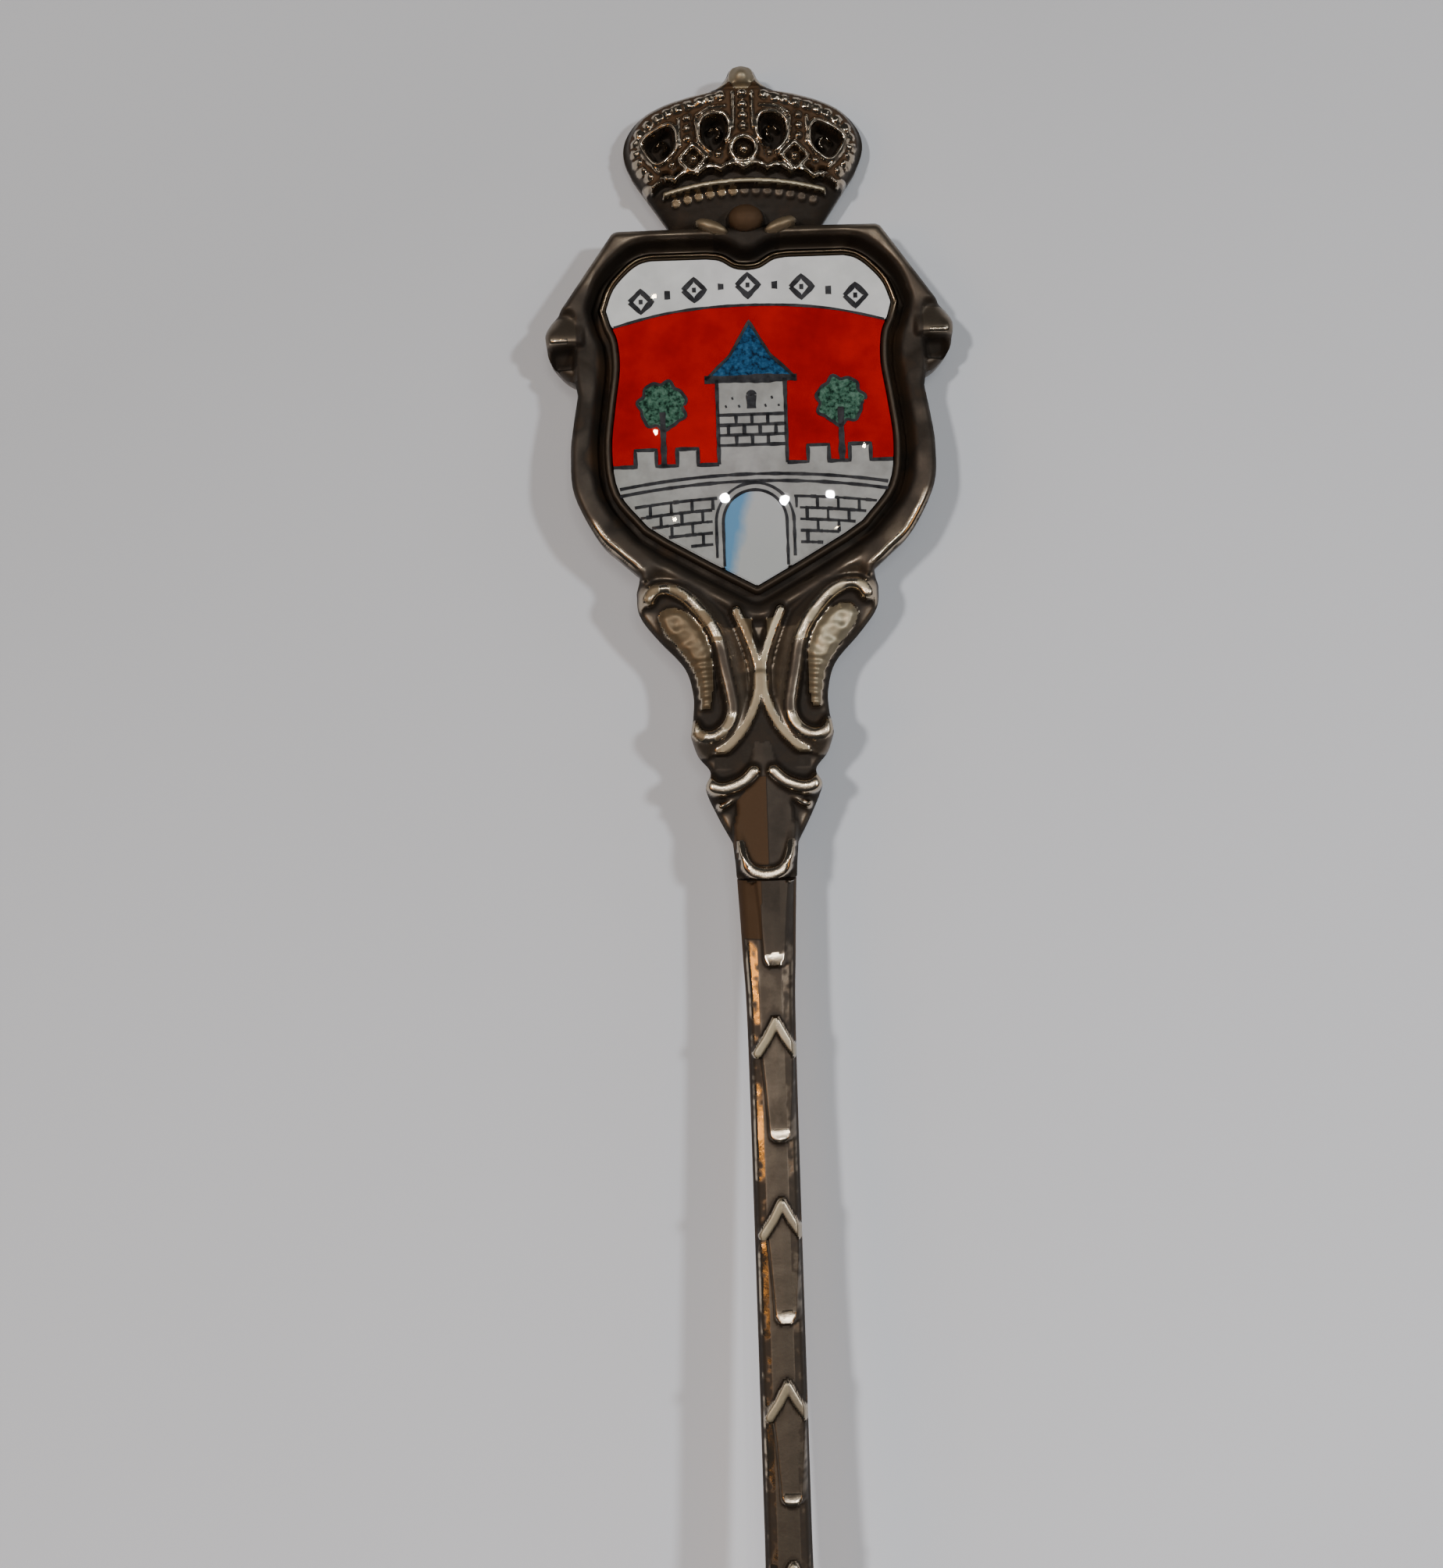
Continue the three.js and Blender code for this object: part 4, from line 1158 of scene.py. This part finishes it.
def old_silver(name, bright, dark, matte, brown):
    """Worn plate, whose colour, gloss and metal follow the attribute "hollow", which holds wear and oxide
    and also painted light and shade.
    """
    material, tree, shader = new_material(name)
    hollow = tree.nodes.new("ShaderNodeAttribute")
    hollow.attribute_name = "hollow"
    patches = minus(tree, noise(tree, 900, 5, 0.6), 0.5)
    share = times(tree, plus(tree, hollow.outputs["Fac"], 1.0), 0.4)
    share = plus(tree, share, times(tree, patches, 0.12))
    middle = [0.4 * a + 0.6 * b for a, b in zip(bright, dark)]
    black = [0.4 * part for part in dark]
    dull = [strength * part for strength, part in zip((0.4, 0.32, 0.25), matte)]
    colour = ramp(tree, share, [(0.02, dull), (0.17, matte), (0.34, bright), (0.51, bright),
                                (0.61, middle), (0.70, dark), (0.80, black), (0.91, brown)])
    tree.links.new(colour, shader.inputs["Base Color"])
    fine = noise(tree, 9000, 3, 0.6)
    rough = ramp(tree, share, [(0.18, 0.5), (0.38, 0.14), (0.51, 0.13), (0.61, 0.26), (0.71, 0.5),
                               (0.80, 0.72)])
    rough = plus(tree, rough, times(tree, minus(tree, fine, 0.5), 0.08))
    tree.links.new(rough, shader.inputs["Roughness"])
    metal = ramp(tree, share, [(0.02, 0.6), (0.2, 1), (0.6, 1), (0.75, 0.6)])
    tree.links.new(metal, shader.inputs["Metallic"])
    dents = plus(tree, noise(tree, 2600, 3, 0.5), fine)
    tree.links.new(bump(tree, dents, 0.000004), shader.inputs["Normal"])
    return material


SILVER = old_silver("old_silver", bright=(0.47, 0.39, 0.295), dark=(0.060, 0.045, 0.032),
                    matte=(0.36, 0.31, 0.215), brown=(0.074, 0.040, 0.018))
TRAY = old_silver("tray_metal", bright=(0.15, 0.11, 0.07), dark=(0.05, 0.036, 0.024),
                  matte=(0.17, 0.125, 0.08), brown=(0.08, 0.05, 0.03))


def enamel(name, colour_of):
    """Opaque enamel, dull by itself: the clear flux over it has the reflections."""
    material, tree, shader = new_material(name)
    tree.links.new(colour_of(tree), shader.inputs["Base Color"])
    shader.inputs["Roughness"].default_value = 0.6
    shader.inputs["Specular IOR Level"].default_value = 0.0
    return material


def mottled(name, stops, scale):
    """Enamel of a colour that wanders between the stops."""
    return enamel(name, lambda tree: ramp(tree, noise(tree, scale, 3, 0.65), stops))


def gate_colour(tree):
    """Light, with a blue shade on the left."""
    x, y = across_and_along(tree)
    wander = times(tree, noise(tree, 900, 3), 0.0008)
    slope = times(tree, minus(tree, y, 0.0385), -0.25)
    share = plus(tree, times(tree, plus(tree, plus(tree, x, wander), slope), 900), 0.6)
    return ramp(tree, share, [(0.25, (0.13, 0.30, 0.50)), (0.75, (0.45, 0.465, 0.475))])


def clear_glass():
    """Clear flux: seen through, with reflections that grow at low angles."""
    material = bpy.data.materials.new("clear_flux")
    material.use_nodes = True
    tree = material.node_tree
    tree.nodes.clear()
    out = tree.nodes.new("ShaderNodeOutputMaterial")
    mix = tree.nodes.new("ShaderNodeMixShader")
    through = tree.nodes.new("ShaderNodeBsdfTransparent")
    gloss = tree.nodes.new("ShaderNodeBsdfGlossy")
    fresnel = tree.nodes.new("ShaderNodeFresnel")
    facing = tree.nodes.new("ShaderNodeNewGeometry")
    fresnel.inputs["IOR"].default_value = 1.5
    gloss.inputs["Roughness"].default_value = 0.012
    tree.links.new(ramp(tree, noise(tree, 120, 2), [(0.3, (0.97, 0.98, 0.97)), (0.7, (1, 1, 1))]),
                   through.inputs["Color"])
    waves = bump(tree, noise(tree, 420, 2, 0.4), 0.000003)
    tree.links.new(waves, gloss.inputs["Normal"])
    front = minus(tree, 1.0, facing.outputs["Backfacing"])
    tree.links.new(times(tree, fresnel.outputs[0], front), mix.inputs[0])
    tree.links.new(through.outputs[0], mix.inputs[1])
    tree.links.new(gloss.outputs[0], mix.inputs[2])
    tree.links.new(mix.outputs[0], out.inputs["Surface"])
    return material


# ---- pieces --------------------------------------------------------------------------------
def show(name, mesh, material, slot, *nodes):
    """Makes a piece that stands for the given CAD nodes."""
    piece = make_piece(name, *mesh)
    piece.data.materials.append(material)
    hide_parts(*nodes)


def casting(outline, height, step, back=0.0, passes=1, chamfer=0.05):
    """A relief drawn in the finial's millimetres, with its points in metres."""
    points, faces, values = relief(outline, height, step, back, passes, chamfer)
    return place(points), faces, values


def tile(height, back, step=0.12, **cuts):
    """A piece of the badge: the picture's outline, grown and cut."""
    return casting(Outline(PICTURE, **cuts), height, step, back, passes=0, chamfer=0.0)


WHITE = mottled("white_enamel", [(0.3, (0.60, 0.61, 0.62)), (0.7, (0.73, 0.74, 0.75))], 700)
STONE = mottled("wall_enamel", [(0.3, (0.27, 0.27, 0.265)), (0.7, (0.40, 0.40, 0.395))], 900)
RED = mottled("red_enamel", [(0.3, (0.31, 0.0006, 0.001)), (0.7, (0.49, 0.001, 0.0015))], 500)
PALE_BLUE = enamel("gate_enamel", gate_colour)
BLUE = mottled("blue_enamel", [(0.36, (0.006, 0.016, 0.035)), (0.52, (0.016, 0.072, 0.17)),
                               (0.7, (0.04, 0.13, 0.26))], 4200)
GREEN = mottled("green_enamel", [(0.38, (0.008, 0.022, 0.016)), (0.5, (0.045, 0.115, 0.08)),
                                 (0.68, (0.11, 0.21, 0.16))], 4600)
BLACK = mottled("black_enamel", [(0.3, (0.016, 0.016, 0.019)), (0.7, (0.06, 0.06, 0.066))], 1800)
CEMENT = mottled("cement", [(0.3, (0.35, 0.30, 0.20)), (0.7, (0.50, 0.45, 0.33))], 1500)
TREES = [foliage(-1), foliage(1)]
ENAMELS = [
    # name, material, slot, and the outlines that the tile stays inside and outside of
    ("banner", WHITE, "white_enamel", [BANNER], []),
    ("sky", RED, "red_enamel", [], [BANNER, castle(), ROOF, *TREES]),
    ("castle", STONE, "white_enamel", [castle()], [GATE]),
    ("gate", PALE_BLUE, "pale_blue_enamel", [GATE], []),
    ("roof", BLUE, "blue_enamel", [ROOF], []),
    ("tree_left", GREEN, "green_enamel", [TREES[0]], []),
    ("tree_right", GREEN, "green_enamel", [TREES[1]], []),
]

show("finial_frame_relief", casting(Outline(FRAME), frame_height, 0.08),
     SILVER, "old_silver", "finial_frame")
show("crown_relief", casting(Outline(CROWN), crown_height, 0.05), SILVER, "old_silver", "crown")
show("spoon_blank_relief", spoon_blank(), SILVER, "old_silver", "spoon_blank")
show("badge_tray_metal", tile(tray_height, TRAY_BACK, 0.07, grow=BADGE_RIM),
     TRAY, "dark_tray_metal", "badge_tray")
show("badge_cement", tile(cement_height, CEMENT_BACK, grow=-0.2), CEMENT, "cement", "cement_bed")
for name, material, slot, inside, outside in ENAMELS:
    mesh = tile(enamel_height, ENAMEL_FLOOR, grow=-0.03, inside=inside, outside=outside)
    show("painted_" + name, mesh, material, slot, "enamel_" + name)
show("castle_lines", ribbons(castle_lines()), BLACK, "black_enamel", "enamel_castle")
show("banner_lines", ribbons(banner_lines()), BLACK, "black_enamel", "enamel_banner")
show("flux_dome", tile(dome_height, FLUX_FLOOR, 0.16, grow=-0.05),
     clear_glass(), "clear_flux", "clear_flux")


# ---- floor, light and camera ---------------------------------------------------------------
def paper_floor():
    """White paper under the spoon, with painted light: its colour grows a little lighter towards the bowl
    and the right.
    """
    mesh = bpy.data.meshes.new("paper")
    size = 1.5
    mesh.from_pydata([(-size, -size, 0), (size, -size, 0), (size, size, 0), (-size, size, 0)], [],
                     [(0, 1, 2, 3)])
    floor = bpy.data.objects.new("paper", mesh)
    bpy.context.scene.collection.objects.link(floor)
    material, tree, shader = new_material("paper")
    x, y = across_and_along(tree)
    # painted light: the paper's colour lightens towards the bowl and the right
    slope = plus(tree, times(tree, minus(tree, 0.055, y), 11.0), times(tree, x, 5.0))
    share = plus(tree, slope, times(tree, noise(tree, 30, 3), 0.15))
    colour = ramp(tree, share, [(0.0, (0.55, 0.57, 0.60)), (0.9, (0.84, 0.87, 0.93))])
    tree.links.new(colour, shader.inputs["Base Color"])
    shader.inputs["Roughness"].default_value = 0.9
    mesh.materials.append(material)


def room_light():
    """A faint, even light from all sides."""
    world = bpy.data.worlds.new("studio")
    bpy.context.scene.world = world
    world.use_nodes = True
    background = world.node_tree.nodes["Background"]
    background.inputs["Color"].default_value = (0.9, 0.95, 1.0, 1)
    background.inputs["Strength"].default_value = 0.05


def lamp(name, across, along, distance, radius, power, colour):
    """A round lamp aimed at the finial, sizes in mm; across and along are its direction's slopes."""
    position = Vector(place([[across * distance, MOUNT_Y + along * distance, distance]])[0])
    data = bpy.data.lights.new(name, "AREA")
    data.shape = "DISK"
    data.size = 2 * radius * MM
    data.energy = power
    data.color = colour
    light = bpy.data.objects.new(name, data)
    light.location = position
    light.rotation_euler = (Vector(ORIGIN) - position).to_track_quat("-Z", "Y").to_euler()
    bpy.context.scene.collection.objects.link(light)


def camera_above():
    """Looks straight down on the finial's plane, with the spoon leaning a little left."""
    distance, reach = 93.0, 65.3  # mm, camera to finial and width it sees
    centre = place([[-1.93, -8.27, 2.0]])[0]
    lean = math.atan(0.0331)
    up = math.cos(lean) * ALONG + math.sin(lean) * ACROSS
    right = np.cross(up, FRONT)
    data = bpy.data.cameras.new("camera")
    data.sensor_fit = "HORIZONTAL"
    data.sensor_width = 36
    data.lens = 36 * distance / reach
    data.clip_start = 0.002
    camera = bpy.data.objects.new("camera", data)
    turn = Matrix((right, up, FRONT)).transposed()
    camera.matrix_world = Matrix.Translation(Vector(centre + distance * MM * FRONT)) @ turn.to_4x4()
    bpy.context.scene.collection.objects.link(camera)
    bpy.context.scene.camera = camera


# broad lamps light the metal, the shadow lamps cast the two soft shadows, the ceiling's and the
# small ones are the bright spots in the flux, and the warm ones glow on slopes to their side
paper_floor()
room_light()
lamp("left", -1.45, 0.4, 350, 130, 0.20, (1, 0.96, 0.92))
lamp("right", 1.45, 0.35, 350, 130, 0.22, (0.88, 0.94, 1))
lamp("shadow_left", -0.42, 0.05, 450, 17, 0.98, (1, 0.97, 0.95))
lamp("shadow_right", 0.64, 0.05, 450, 20, 1.06, (0.91, 0.96, 1))
for number, (across, along) in enumerate(((-0.020, 0.071), (0.060, 0.066), (0.125, 0.073))):
    lamp("ceiling_%d" % number, across, along, 600, 3.6, 0.14, (1, 0.99, 0.97))
sparkles = ((-0.113, 0.166), (0.174, 0.139), (-0.090, 0.045), (0.144, 0.013), (-0.112, 0.364))
for number, (across, along) in enumerate(sparkles):
    lamp("sparkle_%d" % number, across, along, 600, 2.0, 0.02, (1, 0.75, 0.45))
lamp("warm_left", -0.84, -0.2, 350, 60, 0.14, (1, 0.44, 0.07))
lamp("warm_glint", -1.2, -0.3, 350, 6, 0.06, (1, 0.5, 0.16))
lamp("warm_right", 0.84, -0.3, 350, 45, 0.06, (1, 0.46, 0.1))
lamp("glow_left", -0.33, -0.15, 300, 50, 0.012, (1, 0.42, 0.14))
camera_above()
